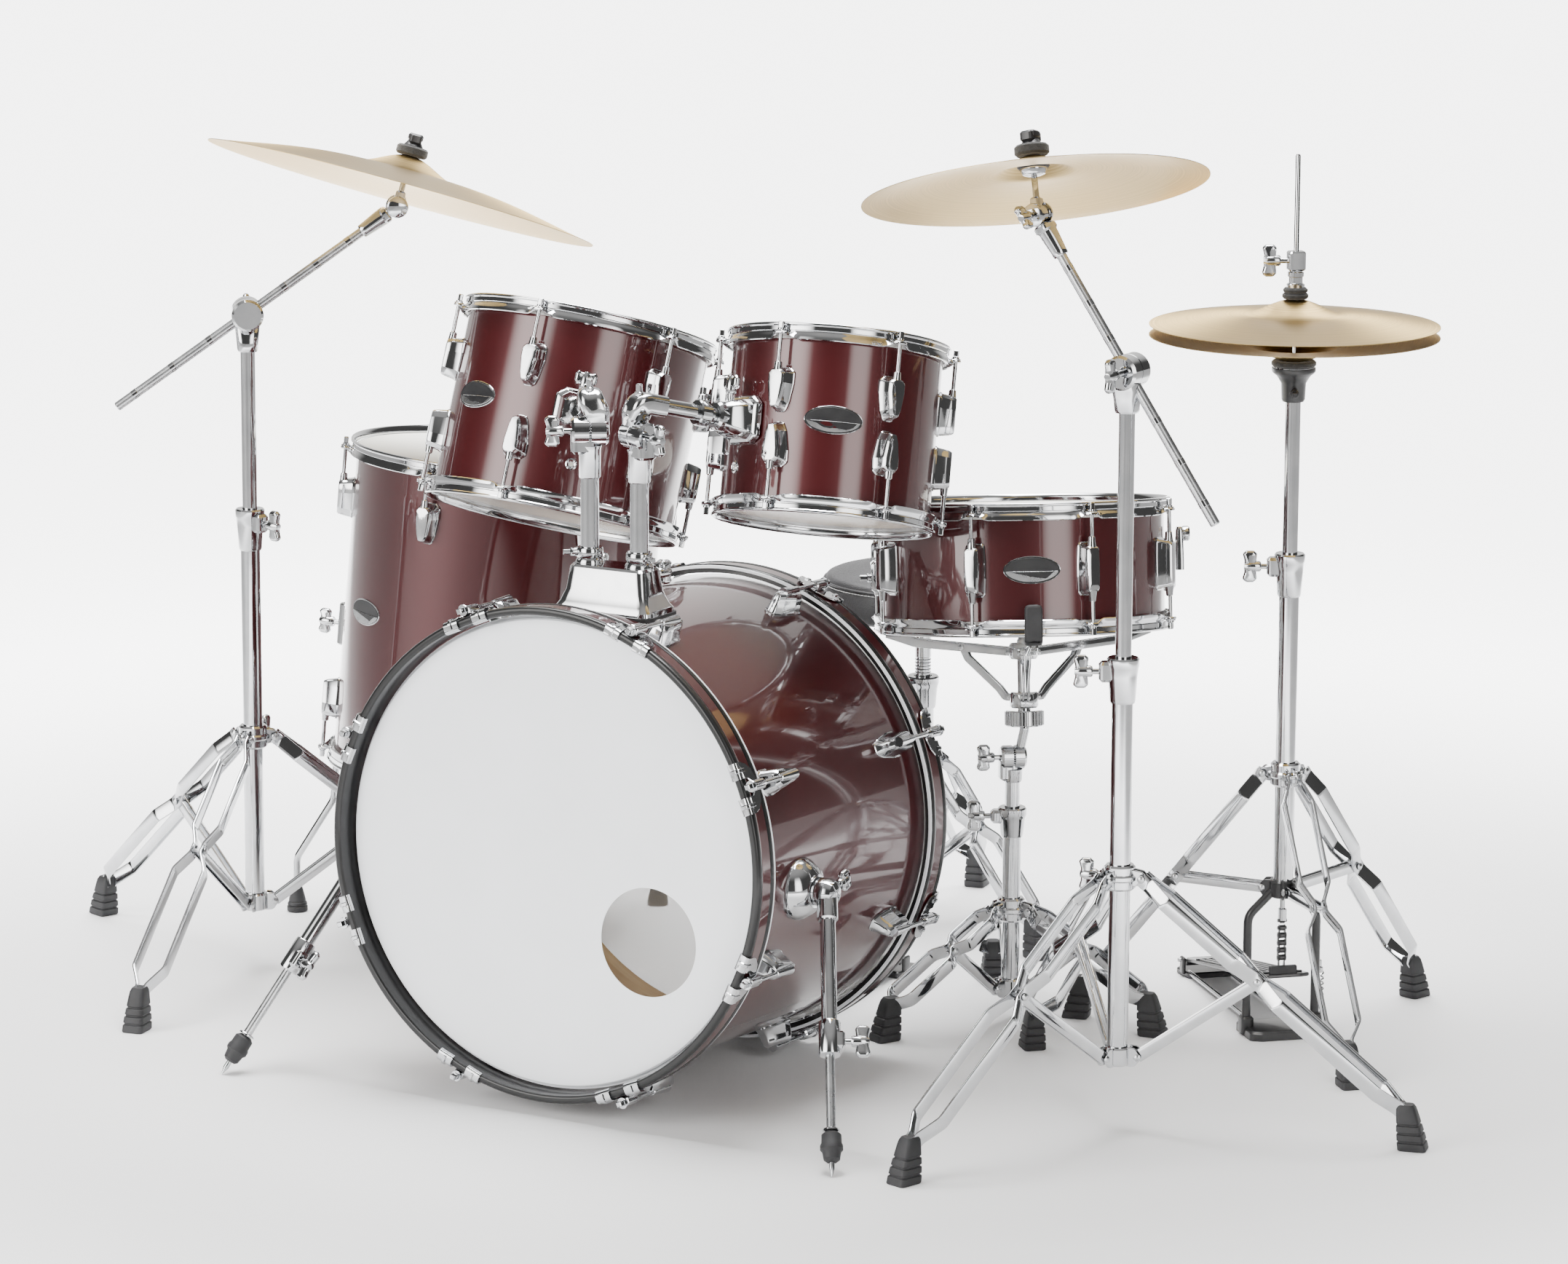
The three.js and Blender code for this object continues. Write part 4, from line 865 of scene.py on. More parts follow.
def tom_bracket(side, tom_body, mount):
    """Eight-sided casting on the shell, with its funnel, its clamp ring and their screws."""
    clamp_at = 64
    octagon = [(-20, -31), (20, -31), (29, -20), (29, 20), (20, 31), (-20, 31), (-29, 20), (-29, -20)]
    steps = [(1.0, -1), (1.0, 4), (0.93, 7), (0.84, 8), (0.8, 16), (0.66, 30), (0.56, 36), (0.5, 38)]
    foot = loft([(rounded([(x * share, y * share) for x, y in octagon], 5, 3), z) for share, z in steps])
    funnel = ring(10.2, 18, 30, 46, 3.0)
    clamp = ring(9.8, 16, clamp_at - 8, clamp_at + 8, 1.5)
    piece(f"{side}_bracket", join(foot, funnel).moved(mount), "chrome", tom_body)
    lock_screw = key_screw(Vector((14, 0, clamp_at)), X_AXIS, 17)
    piece(f"{side}_arm_lock", join(clamp, lock_screw).moved(mount), "chrome", tom_body)
    bolt_at = mount @ Vector((16, 0, 24))
    bracket_bolt = wing_bolt(bolt_at, mount.to_3x3().col[0], 26, 14, mount.to_3x3().col[1])
    piece(f"{side}_bracket_bolt", bracket_bolt, "chrome", tom_body)


# ---- floor tom legs
def floor_tom_legs(place, radius):
    for i, angle in enumerate((188, 63, 306)):
        body = f"floor_leg_{i + 1}"
        node_name = f"floor_tom_leg_{i + 1}"
        line = radius + 17

        def down(z):
            return place @ polar(line, angle, z)
        bend_top = down(-290)
        bend_end = bend_top + polar(56, angle)
        bend_end.z = 74
        foot = Vector((bend_end.x, bend_end.y, 0))
        path = bent([down(4), bend_top, bend_end, foot + UP * 14], 26, 7)
        piece(f"{node_name}_rod", wire(path, 4.9, 18), "chrome", body, None, [node_name])
        boot = lathe([(0, 0), (12.5, 0), (14, 1.6), (14, 7), (12.6, 8.4), (13.4, 10), (12.6, 13),
                      (11.2, 14.2), (11.6, 16), (8.8, 27), (6.8, 34), (5.4, 36.5), (0, 36.5)], 32)
        piece(f"{node_name}_boot", boot.moved(shift(foot.x, foot.y, 0)), "rubber", body)
        back = rounded([(-13, -33), (13, -33), (17, -24), (17, 24), (13, 33), (-13, 33), (-17, 24),
                        (-17, -24)], 4, 3)
        foot_plate = loft([(back, 0), (back, 3), (inset(back, 2), 5), (inset(back, 4), 6)])
        foot_plate = foot_plate.moved(shift(radius - 1, 0, -50) @ OUTWARD)
        barrel = ring(5.6, 12, -78, -22, 2.0, 32).moved(shift(line, 0, 0))
        neck = slab(16, 22, 50, 6, 2).moved(shift(radius + 8, 0, -50))
        turn = spin(angle)
        bolt = wing_bolt(Vector((line + 8, 0, -50)), X_AXIS, 24, 17, UP)
        piece(f"floor_tom_bracket_{i + 1}", join(foot_plate, barrel, neck).moved(turn), "chrome", ROOT, place)
        piece(f"floor_tom_bracket_bolt_{i + 1}", bolt.moved(turn), "chrome", ROOT, place)


# ---- tripods
def strap(path, width, thickness, side):
    return sweep(path, rounded(rect(thickness, width), thickness * 0.3, 2), side)


def foot_form(radius, height):
    """Tapered rubber foot that leans along its leg, with three grooves."""
    axis_lean = 10.0
    layers = []
    stations = [(0, 15.5), (1.5, 16.5), (9, 16.2), (10, 14.6), (11.5, 14.6), (12.5, 15.8), (19, 15.2),
                (20, 13.6), (21.5, 13.6), (22.5, 14.8), (29, 14), (30, 12.4), (31.5, 12.4), (32.5, 13.4),
                (44, 12), (50, 11), (height, 9)]
    for z, half in stations:
        outline = rounded(rect(2 * half * 1.02, 2 * half * 0.86), 5, 3)
        layers.append(([p + Vector((radius - axis_lean * z / height, 0)) for p in outline], z))
    return loft(layers)


def ears_around(ear, leg_angles, reach, gap, z):
    """Two upright ears for each leg, a gap to either side of its plane."""
    return [ear.moved(spin(angle) @ shift(reach, s * gap, z) @ UPRIGHT) for angle in leg_angles
            for s in (-1, 1)]


def tripod(name, at, leg_angles, foot_radius, collar_z, hub_z, tube_radius, replaces, hub_material="chrome",
           bolt_angle=None, knee_reach=0.472):
    """Folding legs: two bowed strips each, a strip brace to a riveted hub, a cast collar and rubber feet."""
    place = shift(at.x, at.y, 0)
    side = Y_AXIS
    strips, braces, rivets, feet = [], [], [], []
    foot_height = 54
    shoulder = Vector((tube_radius + 15, 0, collar_z))
    end = Vector((foot_radius - 9, 0, foot_height - 12))
    knee_share = (foot_radius * knee_reach - shoulder.x) / (end.x - shoulder.x)
    knee = shoulder.lerp(end, knee_share)
    hub = Vector((tube_radius + 13, 0, hub_z))
    bow = [(0, 7.5), (0.025, 7.5), (0.095, 18), (knee_share - 0.085, 18), (knee_share - 0.018, 6.5),
           (knee_share + 0.018, 6.5), (knee_share + 0.085, 21), (0.9, 21), (0.968, 5.5), (1, 5.5)]
    for angle in leg_angles:
        turn = spin(angle)
        for s in (-1, 1):
            path = bent([shoulder.lerp(end, t) + side * s * w for t, w in bow], 14, 3)
            strips.append(strap(path, 18, 2.8, side).moved(turn))
            lower = bent([hub + side * s * 4, hub.lerp(knee, 0.5) + side * s * 4, knee + side * s * 4.2],
                         10, 2)
            braces.append(strap(lower, 14, 2.2, side).moved(turn))
        for centre, grip in ((shoulder, 22), (knee, 18), (hub, 16), (end - Vector((0, 0, 2)), 15)):
            rivets.append(rivet(centre, side, grip).moved(turn))
        feet.append(foot_form(foot_radius, foot_height).moved(turn))
    ear = plate(rounded([(0, -11), (18, -8), (23, 0), (18, 8), (0, 11)], 5, 3), 3.2, 0.8)
    ears = ears_around(ear, leg_angles, tube_radius - 2, 4.8, collar_z)
    collar = ring(tube_radius + 0.1, tube_radius + 6, collar_z - 15, collar_z + 15, 2.5)
    brim = ring(tube_radius + 0.1, tube_radius + 9, collar_z - 4, collar_z + 4, 2.0)
    hub_ear = plate(rounded([(0, -12), (14, -11), (21, 0), (14, 11), (0, 12)], 6, 4), 2.6, 0.8)
    hub_ears = ears_around(hub_ear, leg_angles, tube_radius - 3, 7, hub_z)
    hub_ring = ring(tube_radius + 0.1, tube_radius + 5, hub_z - 11, hub_z + 11, 2.0)
    piece(f"{name}_leg_strips", strips, "chrome", ROOT, place, replaces)
    piece(f"{name}_braces", braces, "chrome", ROOT, place)
    piece(f"{name}_rivets", rivets, "satin", ROOT, place)
    piece(f"{name}_feet", feet, "rubber", ROOT, place)
    piece(f"{name}_collar", [collar, brim, *ears], "chrome", ROOT, place)
    piece(f"{name}_hub", [hub_ring, *hub_ears], hub_material, ROOT, place)
    if bolt_angle is not None:
        bolt = wing_bolt(polar(tube_radius + 3, bolt_angle, collar_z), polar(1, bolt_angle), 24)
        piece(f"{name}_collar_bolt", bolt, "chrome", ROOT, place)


def tube_piece(name, place, radius, inner, bottom, top, body=ROOT, replaces=()):
    piece(name, ring(inner, radius, bottom, top, 0.8, 48), "chrome", body, place, replaces)


def height_collar(name, place, tube_radius, inner, z, angle, size=1.0):
    """Flared clamp sleeve with a cast lug and its wing bolt."""
    low_z, high_z = z - 28 * size, z + 26 * size
    sleeve = lathe([(inner, low_z), (tube_radius + 1.6, low_z), (tube_radius + 2.6, low_z + 3),
                    (tube_radius + 4.6, z + 4), (tube_radius + 5.6, high_z - 12),
                    (tube_radius + 6.6, high_z - 9), (tube_radius + 6.6, high_z - 2),
                    (tube_radius + 5, high_z), (inner, high_z)], 40, loop=True)
    boss = slab(20, 19, 24 * size, 6, 3.5).moved(spin(angle) @ shift(tube_radius + 6, 0, z + 9 * size))
    bolt = wing_bolt(polar(tube_radius + 8, angle, z + 9 * size), polar(1, angle), 28)
    piece(f"{name}_height_collar", join(sleeve, boss), "chrome", ROOT, place)
    piece(f"{name}_height_bolt", bolt, "chrome", ROOT, place)


# ---- cymbals
def cymbal_form(radius, bow, bell_radius, bell_rise):
    """Bowed disc with a domed bell and a thin rounded edge. The rim plane is at zero."""
    sheet, hole, steps = 1.3, 6.5, 14
    top = []
    for k in range(steps + 1):
        share = k / steps
        r = radius + (bell_radius - radius) * share
        top.append((r, bow * math.sin(share * math.pi / 2) ** 1.15))
    for k in range(1, steps + 1):
        r = max(hole, bell_radius * (1 - k / steps))
        top.append((r, bow + bell_rise * (0.5 + 0.5 * math.cos(math.pi * r / bell_radius)) ** 0.8))
    under = [(r, z - sheet * (1 if r < radius else 0.6)) for r, z in reversed(top)]
    return lathe([*reversed(under), *reversed(top)][::-1], 144, loop=True)


def cymbal_hardware(name, tip, axis, drop, crown, hinge, body):
    """Toothed joint, stem, metal cup, two felts, sleeve and wing nut about the stem."""
    stand = basis(tip, axis, hinge)

    def disc(bottom, top, radius, bevel=1.5):
        low_z, high_z = drop + bottom, drop + top
        return lathe([(0, low_z), (radius - bevel, low_z), (radius, low_z + bevel), (radius, high_z - bevel),
                      (radius - bevel, high_z), (0, high_z)], 32)
    eye = turned(tip - hinge * 8, tip, [(0, 0), (10.6, 0), (11.6, 1), (11.6, 15), (10.6, 16), (0, 16)], 32)
    stem = lathe([(0, 4), (3.8, 4), (3.8, drop + crown - 26), (3.0, drop + crown - 24),
                  (3.0, drop + crown + 26), (0, drop + crown + 26)], 20)
    neck = slab(14, 13, 14, 4, 2, 4).moved(shift(0, 0, 13))
    piece(f"{name}_stem", join(eye, join(stem, neck).moved(stand)), "chrome", body, None,
          [f"{name}_cymbal_mount"])
    cup = lathe([(0, drop + crown - 25), (7, drop + crown - 25), (13, drop + crown - 23),
                 (16, drop + crown - 18), (16, drop + crown - 16), (0, drop + crown - 16)], 32)
    piece(f"{name}_cup", cup, "chrome", body, stand)
    piece(f"{name}_lower_felt", disc(crown - 16, crown - 4, 19, 2), "black_felt", body, stand)
    piece(f"{name}_upper_felt", disc(crown - 0.5, crown + 12, 20.5, 2.5), "black_felt", body, stand)
    nut = lathe([(0, drop + crown + 11), (12, drop + crown + 11), (12.4, drop + crown + 13),
                 (9, drop + crown + 18), (0, drop + crown + 18)], 28)
    wings = slab(26, 16, 13, 4, 2.4).moved(shift(0, 0, drop + crown + 21.5))
    cross = slab(18, 19, 9, 4, 2).moved(shift(0, 0, drop + crown + 24))
    piece(f"{name}_nut", join(nut, wings, cross), "black_plastic", body, stand)


# ---- boom stands
def boom_stand(side, leg_angles, collar_z, height_z, collar_turn, cymbal, drop):
    """Tripod, mast, ratchet tilter, boom rod and cymbal, whose rim is `drop` above its joint."""
    name = f"{side}_stand"
    pivot = joint_at(f"{side}_boom_tilt")
    tip = joint_at(f"{side}_cymbal_tilt")
    hinge = joint_axis(f"{side}_boom_tilt")
    at = Vector((pivot.x, pivot.y, 0))
    place = shift(at.x, at.y, 0)
    tube_radius = 12.5
    tripod(name, at, leg_angles, foot_radius=355, collar_z=collar_z, hub_z=86, tube_radius=tube_radius,
           replaces=[f"{name}_base"], bolt_angle=leg_angles[0] - 60)
    tube_piece(f"{name}_lower_tube", place, tube_radius, 10.4, 74, height_z + 10)
    height_collar(name, place, tube_radius, 10.2, height_z, collar_turn)
    mast_body = f"{side}_mast"
    tube_piece(f"{name}_mast_tube", place, 9.5, 7.8, height_z - 205, pivot.z - 42, mast_body,
               [f"{name}_mast"])
    across = basis(pivot, hinge, UP)
    lower_disc = toothed_disc(20.5, -21, -0.3).moved(across)
    lean = Vector((hinge.x, hinge.y, 0))
    middle = basis(Vector(), UP, lean)
    layers = []
    for width, depth, drop_z, aside in ((25, 25, 48, 0), (27.5, 27.5, 45, 0), (29, 28, 32, -1),
                                        (31, 26, 22, -4), (32, 22, 12, -8), (28, 18, 2, -10)):
        outline = rounded(rect(depth, width), min(width, depth) * 0.42, 5)
        layers.append(([(middle @ Vector((p[0] + aside, p[1], 0))).to_2d() for p in outline],
                       pivot.z - drop_z))
    column = loft(layers).moved(place)
    piece(f"{name}_tilter_lower", join(lower_disc, column), "chrome", mast_body)
    bolt = wing_bolt(pivot - hinge * 16, hinge * -1, 28, 20, UP)
    piece(f"{name}_tilter_bolt", bolt, "chrome", mast_body)
    boom(name, f"{side}_boom", pivot, tip, hinge)

    _, bow, _, bell_rise = cymbal
    cymbal_body = f"{side}_cymbal"
    axis = (mean(f"{name}_cymbal") - tip).normalized()
    stand = basis(tip + axis * drop, axis, Vector((axis.x, axis.y, 0)))
    cymbal_hardware(name, tip, axis, drop, bow + bell_rise, hinge, cymbal_body)
    piece(f"{name}_bronze", cymbal_form(*cymbal), "bronze", cymbal_body, stand, [f"{name}_cymbal"])


def boom(name, boom_body, pivot, tip, hinge):
    """Upper half of the tilter, the rod it grips with its ring marks, and the fork at the rod's end."""
    behind = 205
    across = basis(pivot, hinge, UP)
    along = (tip - pivot).normalized()
    upper_disc = toothed_disc(20.5, 21, 0.3).moved(across)
    grip = slab(22, 30, 26, 8, 3, 4).moved(basis(pivot + hinge * 9, along, hinge))
    piece(f"{name}_tilter_upper", join(upper_disc, grip), "chrome", boom_body, None, [f"{name}_boom"])
    back, front = pivot - along * behind, tip - along * 22
    length = (front - back).length
    shaft = turned(back, front, [(0, 0), (5.2, 0), (6.1, 1.2), (6.1, length), (0, length)], 24)
    piece(f"{name}_boom_rod", shaft, "satin", boom_body)
    bands = []
    for share in (0.06, 0.2, 0.34, 0.62, 0.74, 0.86):
        start = back.lerp(front, share)
        bands.append(turned(start, front, [(6, 0), (6.4, 0.4), (6.4, 7.6), (6, 8)], 24))
    piece(f"{name}_boom_bands", bands, "chrome", boom_body)
    end_cast = turned(tip - along * 56, tip, [(0, 0), (8.2, 0), (9.2, 1.5), (9.4, 6), (11, 26), (11.5, 38),
                                              (0, 42)], 28)
    cheek = [(0, 0), (11, 0), (13.4, 1.4), (14, 3), (14, 5.5), (0, 5.5)]
    cheeks = [turned(tip + hinge * s * 14, tip, cheek, 32) for s in (-1, 1)]
    crosspiece = slab(28, 20, 10, 6, 2.5, 4).moved(basis(tip - along * 18.5, along, hinge))
    piece(f"{name}_boom_fork", join(end_cast, cheeks, crosspiece), "chrome", boom_body)
    piece(f"{name}_cymbal_bolt", wing_bolt(tip - hinge * 12, hinge * -1, 22, 15, along), "chrome", boom_body)


# ---- hi-hat
def coil_path(foot, radius, climb, steps):
    """A spring's centre line, with fourteen steps a turn. climb is its rise for each radian."""
    x, y, z = foot
    angles = [k * math.pi / 7 for k in range(steps)]
    return [Vector((x + radius * math.cos(a), y + radius * math.sin(a), z + a * climb)) for a in angles]


def chain_form(at, count, pitch, axis):
    """Roller chain hanging down from a point; axis is along its pins."""
    links = []
    side = axis.normalized()
    for k in range(count):
        centre = at - UP * (pitch * k)
        links.append(pin(centre - side * 6, centre + side * 6, 2.3, 0.3, 12))
        links.append(pin(centre - side * 3, centre + side * 3, 3.6, 0.4, 14))
        outward = 4.9 if k % 2 else 3.6
        if k < count - 1:
            for s in (-1, 1):
                flat = plate(rounded([(-3.6, -4), (3.6, -4), (2.6, pitch / 2), (3.6, pitch + 4),
                                      (-3.6, pitch + 4), (-2.6, pitch / 2)], 2.5, 3), 1.1, 0.3)
                matrix = basis(centre - UP * pitch + side * s * outward, side, side.cross(UP))
                links.append(flat.moved(matrix))
    return join(links)


def footboard(name, heel, toe, width, body, replaces):
    """Cast footboard with raised ribs, a hinge barrel at the heel and a toe stop."""
    along = (toe - heel).normalized()
    side = along.cross(UP).normalized()
    length = (toe - heel).length
    place = basis(heel, side.cross(along), along)
    outline = [(0, -width * 0.42), (length * 0.3, -width * 0.46), (length * 0.72, -width / 2),
               (length - 8, -width / 2), (length, -width * 0.3), (length, width * 0.3),
               (length - 8, width / 2), (length * 0.72, width / 2), (length * 0.3, width * 0.46),
               (0, width * 0.42)]
    board = plate(rounded(outline, 8, 4), 4.6, 1.2)
    ribs = [slab(length * 0.72, 3.2, 2.4, 1.4, 0.8).moved(shift(length * 0.53, y, 3.2))
            for y in [width * (0.12 * k - 0.36) for k in range(7)]]
    border = [slab(4, width * 0.84, 3, 1.5, 0.8).moved(shift(x, 0, 3.2))
              for x in (length * 0.15, length * 0.93)]
    piece(name, join(board), "black_metal", body, place, replaces)
    piece(f"{name}_ribs", join(ribs, border), "black_metal", body, place)
    barrel = pin(Vector((0, -width * 0.4, -3)), Vector((0, width * 0.4, -3)), 5, 0.8)
    piece(f"{name}_heel_barrel", barrel, "black_metal", body, place)
    stop = slab(7, width * 0.5, 12, 2.5, 1.4).moved(shift(length - 6, 0, 7))
    piece(f"{name}_toe_stop", stop, "rubber", body, place)
    return place


HIHAT_HEEL = 294  # the footboard's hinge, out from the mast


def hi_hat():
    name = "hihat"
    axis = mean("hihat_top_cymbal")
    at = Vector((axis.x, axis.y, 0))
    place = shift(at.x, at.y, 0)
    tube_radius, upper_radius, height_z, seat_z = 12.5, 9.5, 584, 799
    tripod(name, at, leg_angles=(74.2, 194.2, 314.2), foot_radius=262, collar_z=332, hub_z=186,
           tube_radius=tube_radius, replaces=["hihat_base"], hub_material="black_metal", knee_reach=0.52)
    tube_piece("hihat_lower_tube", place, tube_radius, 8, 176, height_z + 10)
    height_collar(name, place, tube_radius, 8, height_z, angle=210)
    tube_piece("hihat_upper_tube", place, upper_radius, 6, height_z - 10, seat_z + 27)
    hihat_seat(place, seat_z)
    turn = spin(134.2)
    hihat_pedal_frame(place, turn)
    hihat_pull_rod(place, turn)
    crown = high("hihat_top_cymbal").z
    hihat_clutch(place, turn, crown)
    shape = cymbal_form(178, 13, 62, 19)
    lip = 1.6
    for which, body, flip in (("top", "hihat_pull", 1), ("bottom", ROOT, -1)):
        rim = low(f"hihat_{which}_cymbal").z + lip if flip > 0 else high(f"hihat_{which}_cymbal").z - lip
        piece(f"hihat_{which}_bronze", shape.moved(Matrix.Scale(flip, 4, UP)), "bronze", body,
              shift(at.x, at.y, rim), [f"hihat_{which}_cymbal"])
    heel = place @ (turn @ Vector((HIHAT_HEEL, 0, 22)))
    toe = place @ (turn @ Vector((-14, 0, 76)))
    board = footboard("hihat_pedal_board", heel, toe, 72, "hihat_pedal", ["hihat_footboard"])
    clamp = slab(16, 22, 9, 2.5, 1.2).moved(shift((toe - heel).length - 16, 0, 5))
    piece("hihat_chain_clamp", clamp, "black_metal", "hihat_pedal", board)


def hihat_seat(place, z):
    """Cup under the bottom cymbal, with its tilt screw, washer and felt."""
    rim_z = z + 42
    seat = lathe([(6, z), (13, z), (14.5, z + 3), (15.5, z + 23), (21, z + 32), (26, z + 36), (27, z + 38),
                  (27, rim_z), (6, rim_z)], 40, loop=True)
    tilt = key_screw(Vector((12, 0, z + 12)), X_AXIS, 18).moved(spin(-60))
    piece("hihat_seat", join(seat, tilt), "black_plastic", ROOT, place)
    piece("hihat_seat_washer", ring(5.5, 25.5, rim_z, rim_z + 1.6, 0.5), "chrome", ROOT, place)
    piece("hihat_seat_felt", ring(5.5, 27.5, rim_z + 1.6, rim_z + 9, 2), "black_felt", ROOT, place)


def hihat_pedal_frame(place, turn):
    """Arch, tray, heel plate, connecting rods and the return spring beside the mast."""
    arch_half = 45
    legs = []
    for s in (-1, 1):
        path = bent([(0, s * arch_half, 20), (0, s * arch_half, 152), (0, s * 12, 184)], 24, 6)
        legs.append(wire(path, 5.6, 18))
    piece("hihat_arch", join(legs).moved(turn), "black_metal", ROOT, place)
    tray = rounded([(-34, -50), (26, -50), (30, -40), (30, 40), (26, 50), (-34, 50), (-40, 36), (-40, -36)],
                   8, 4)
    tray_form = loft([(tray, 0), (tray, 9), (inset(tray, 2), 11), (inset(tray, 6), 12)])
    lugs = [slab(20, 16, 22, 5, 2).moved(shift(0, s * arch_half, 13)) for s in (-1, 1)]
    piece("hihat_tray", join(tray_form, lugs).moved(turn), "black_metal", ROOT, place)
    heel_shape = rounded([(276, -30), (312, -36), (322, -26), (322, 26), (312, 36), (276, 30)], 7, 4)
    ears = [slab(14, 5, 22, 4, 1.4).moved(shift(HIHAT_HEEL, s * 33, 15)) for s in (-1, 1)]
    piece("hihat_heel", join(plate(heel_shape, 8, 1.6).moved(shift(0, 0, 4)), ears).moved(turn),
          "black_metal", ROOT, place)
    links = [pin(Vector((10, s * 26, 6)), Vector((290, s * 26, 6)), 3.2) for s in (-1, 1)]
    piece("hihat_links", join(links).moved(turn), "chrome", ROOT, place)
    heel_pin = pin(Vector((HIHAT_HEEL, -40, 22)), Vector((HIHAT_HEEL, 40, 22)), 2.6)
    piece("hihat_heel_pin", heel_pin.moved(turn), "chrome", ROOT, place)
    coil = coil_path((18, -56, 16), 6, 1.1, 120)
    piece("hihat_spring", wire([turn @ p for p in coil], 1.1, 8), "chrome", ROOT, place)
    knob = key_screw(Vector((18, -56, 70)), UP, 16).moved(turn)
    piece("hihat_spring_screw", knob, "chrome", ROOT, place)


def hihat_pull_rod(place, turn):
    """The rod that runs through both tubes, its yoke and the chain under it."""
    pull, top = "hihat_pull", high("hihat_rod").z
    rod = lathe([(0, 150), (3, 150), (3.2, 152), (3.2, top - 2), (2.2, top), (0, top)], 20)
    yoke = slab(12, 9, 16, 3, 1).moved(turn @ shift(0, 0, 152))
    piece("hihat_pull_rod", join(rod, yoke), "chrome", pull, place, ["hihat_rod"])
    chain = chain_form(Vector((0, 0, 144)), 6, 9.5, turn.to_3x3() @ Y_AXIS)
    piece("hihat_chain", chain, "black_metal", pull, place)


def hihat_clutch(place, turn, crown):
    """What holds the top cymbal on the rod, over and under its bell."""
    pull = "hihat_pull"
    felts = [ring(3.4, 16, crown + 0.4, crown + 7.4, 2), ring(3.4, 15, crown + 7.6, crown + 14, 2)]
    piece("hihat_clutch_felts", felts, "black_felt", pull, place)
    piece("hihat_under_felt", ring(3.4, 14, crown - 9, crown - 2.4, 2), "black_felt", pull, place)
    sleeve = lathe([(3.3, crown + 14), (11, crown + 14), (11.4, crown + 18), (8.6, crown + 20),
                    (8.6, crown + 27), (10, crown + 28), (10, crown + 33), (8, crown + 34), (8, crown + 36),
                    (3.3, crown + 36)], 32, loop=True)
    block = slab(18, 22, 24, 5, 2, 4).moved(turn @ shift(0, 0, crown + 47))
    piece("hihat_clutch", join(sleeve, block), "chrome", pull, place)
    bolt = wing_bolt(Vector((0, 0, crown + 47)), Vector((-0.87, -0.5, 0)), 32, 20, UP)
    piece("hihat_clutch_bolt", bolt, "chrome", pull, place)


# ---- snare drum and stand
STRAINER_ANGLE, BASKET_ANGLES = 31.5, (61.5, 181.5, 301.5)


def snare():
    body = "snare_basket"
    place, radius, half = drum("snare", body, 14, 5.5, 8, -36, -1, split=False, top="cream_head")
    vent("snare", radius, 121.5, 0, body, place)
    turn = spin(STRAINER_ANGLE)
    housing = loft([(rounded(rect(26, 66), 5), 0), (rounded(rect(26, 66), 5), 8),
                    (rounded(rect(22, 60), 5), 12), (rounded(rect(20, 56), 5), 14)])
    piece("snare_strainer_housing", housing.moved(turn @ shift(radius - 1, 0, -4) @ OUTWARD), "chrome",
          body, place)
    butt = loft([(rounded(rect(30, 40), 5), 0), (rounded(rect(30, 40), 5), 8),
                 (rounded(rect(26, 34), 5), 12)])
    clamps = [key_screw(Vector((radius + 11, s * 8, -14)), X_AXIS, 14) for s in (-1, 1)]
    butt_plate = join(butt.moved(shift(radius - 1, 0, -12) @ OUTWARD), clamps)
    piece("snare_butt_plate", butt_plate.moved(spin(STRAINER_ANGLE + 180)), "chrome", body, place)
    lever = loft([(rounded(rect(11, 17), 3), -11), (rounded(rect(11, 18), 3), 0),
                  (rounded(rect(10, 20), 3), 20), (rounded(rect(9, 20), 3), 38),
                  (rounded(rect(6, 16), 2.4), 43)])
    knob_profile = [(0, 0), (9, 0), (9.6, 1), (9.6, 7), (8, 9), (0, 9)]
    knob = turned(Vector((4, 0, 34)), Vector((12, 0, 34)), knob_profile, 24)
    piece("snare_lever", join(lever, knob).moved(turn @ shift(radius + 19, 0, 0)), "chrome",
          "strainer_lever", place, ["snare_strainer_lever"])
    z = -half - 3.4
    wires = []
    for k in range(20):
        y = (k - 9.5) * 2.1
        coil = [Vector((x, y, z)) + Vector((0, 0.8 * math.cos(x * 1.6), 0.8 * math.sin(x * 1.6)))
                for x in [-138 + 1.0 * i for i in range(277)]]
        wires.append(wire(coil, 0.35, 3))
    ends = [slab(14, 43, 1.4, 2, 0.4).moved(shift(s * 144, 0, z)) for s in (-1, 1)]
    piece("snare_wire_set", join(wires, ends).moved(turn), "snare_wire", body, place, ["snare_wires"])
    snare_stand(place, radius, half)


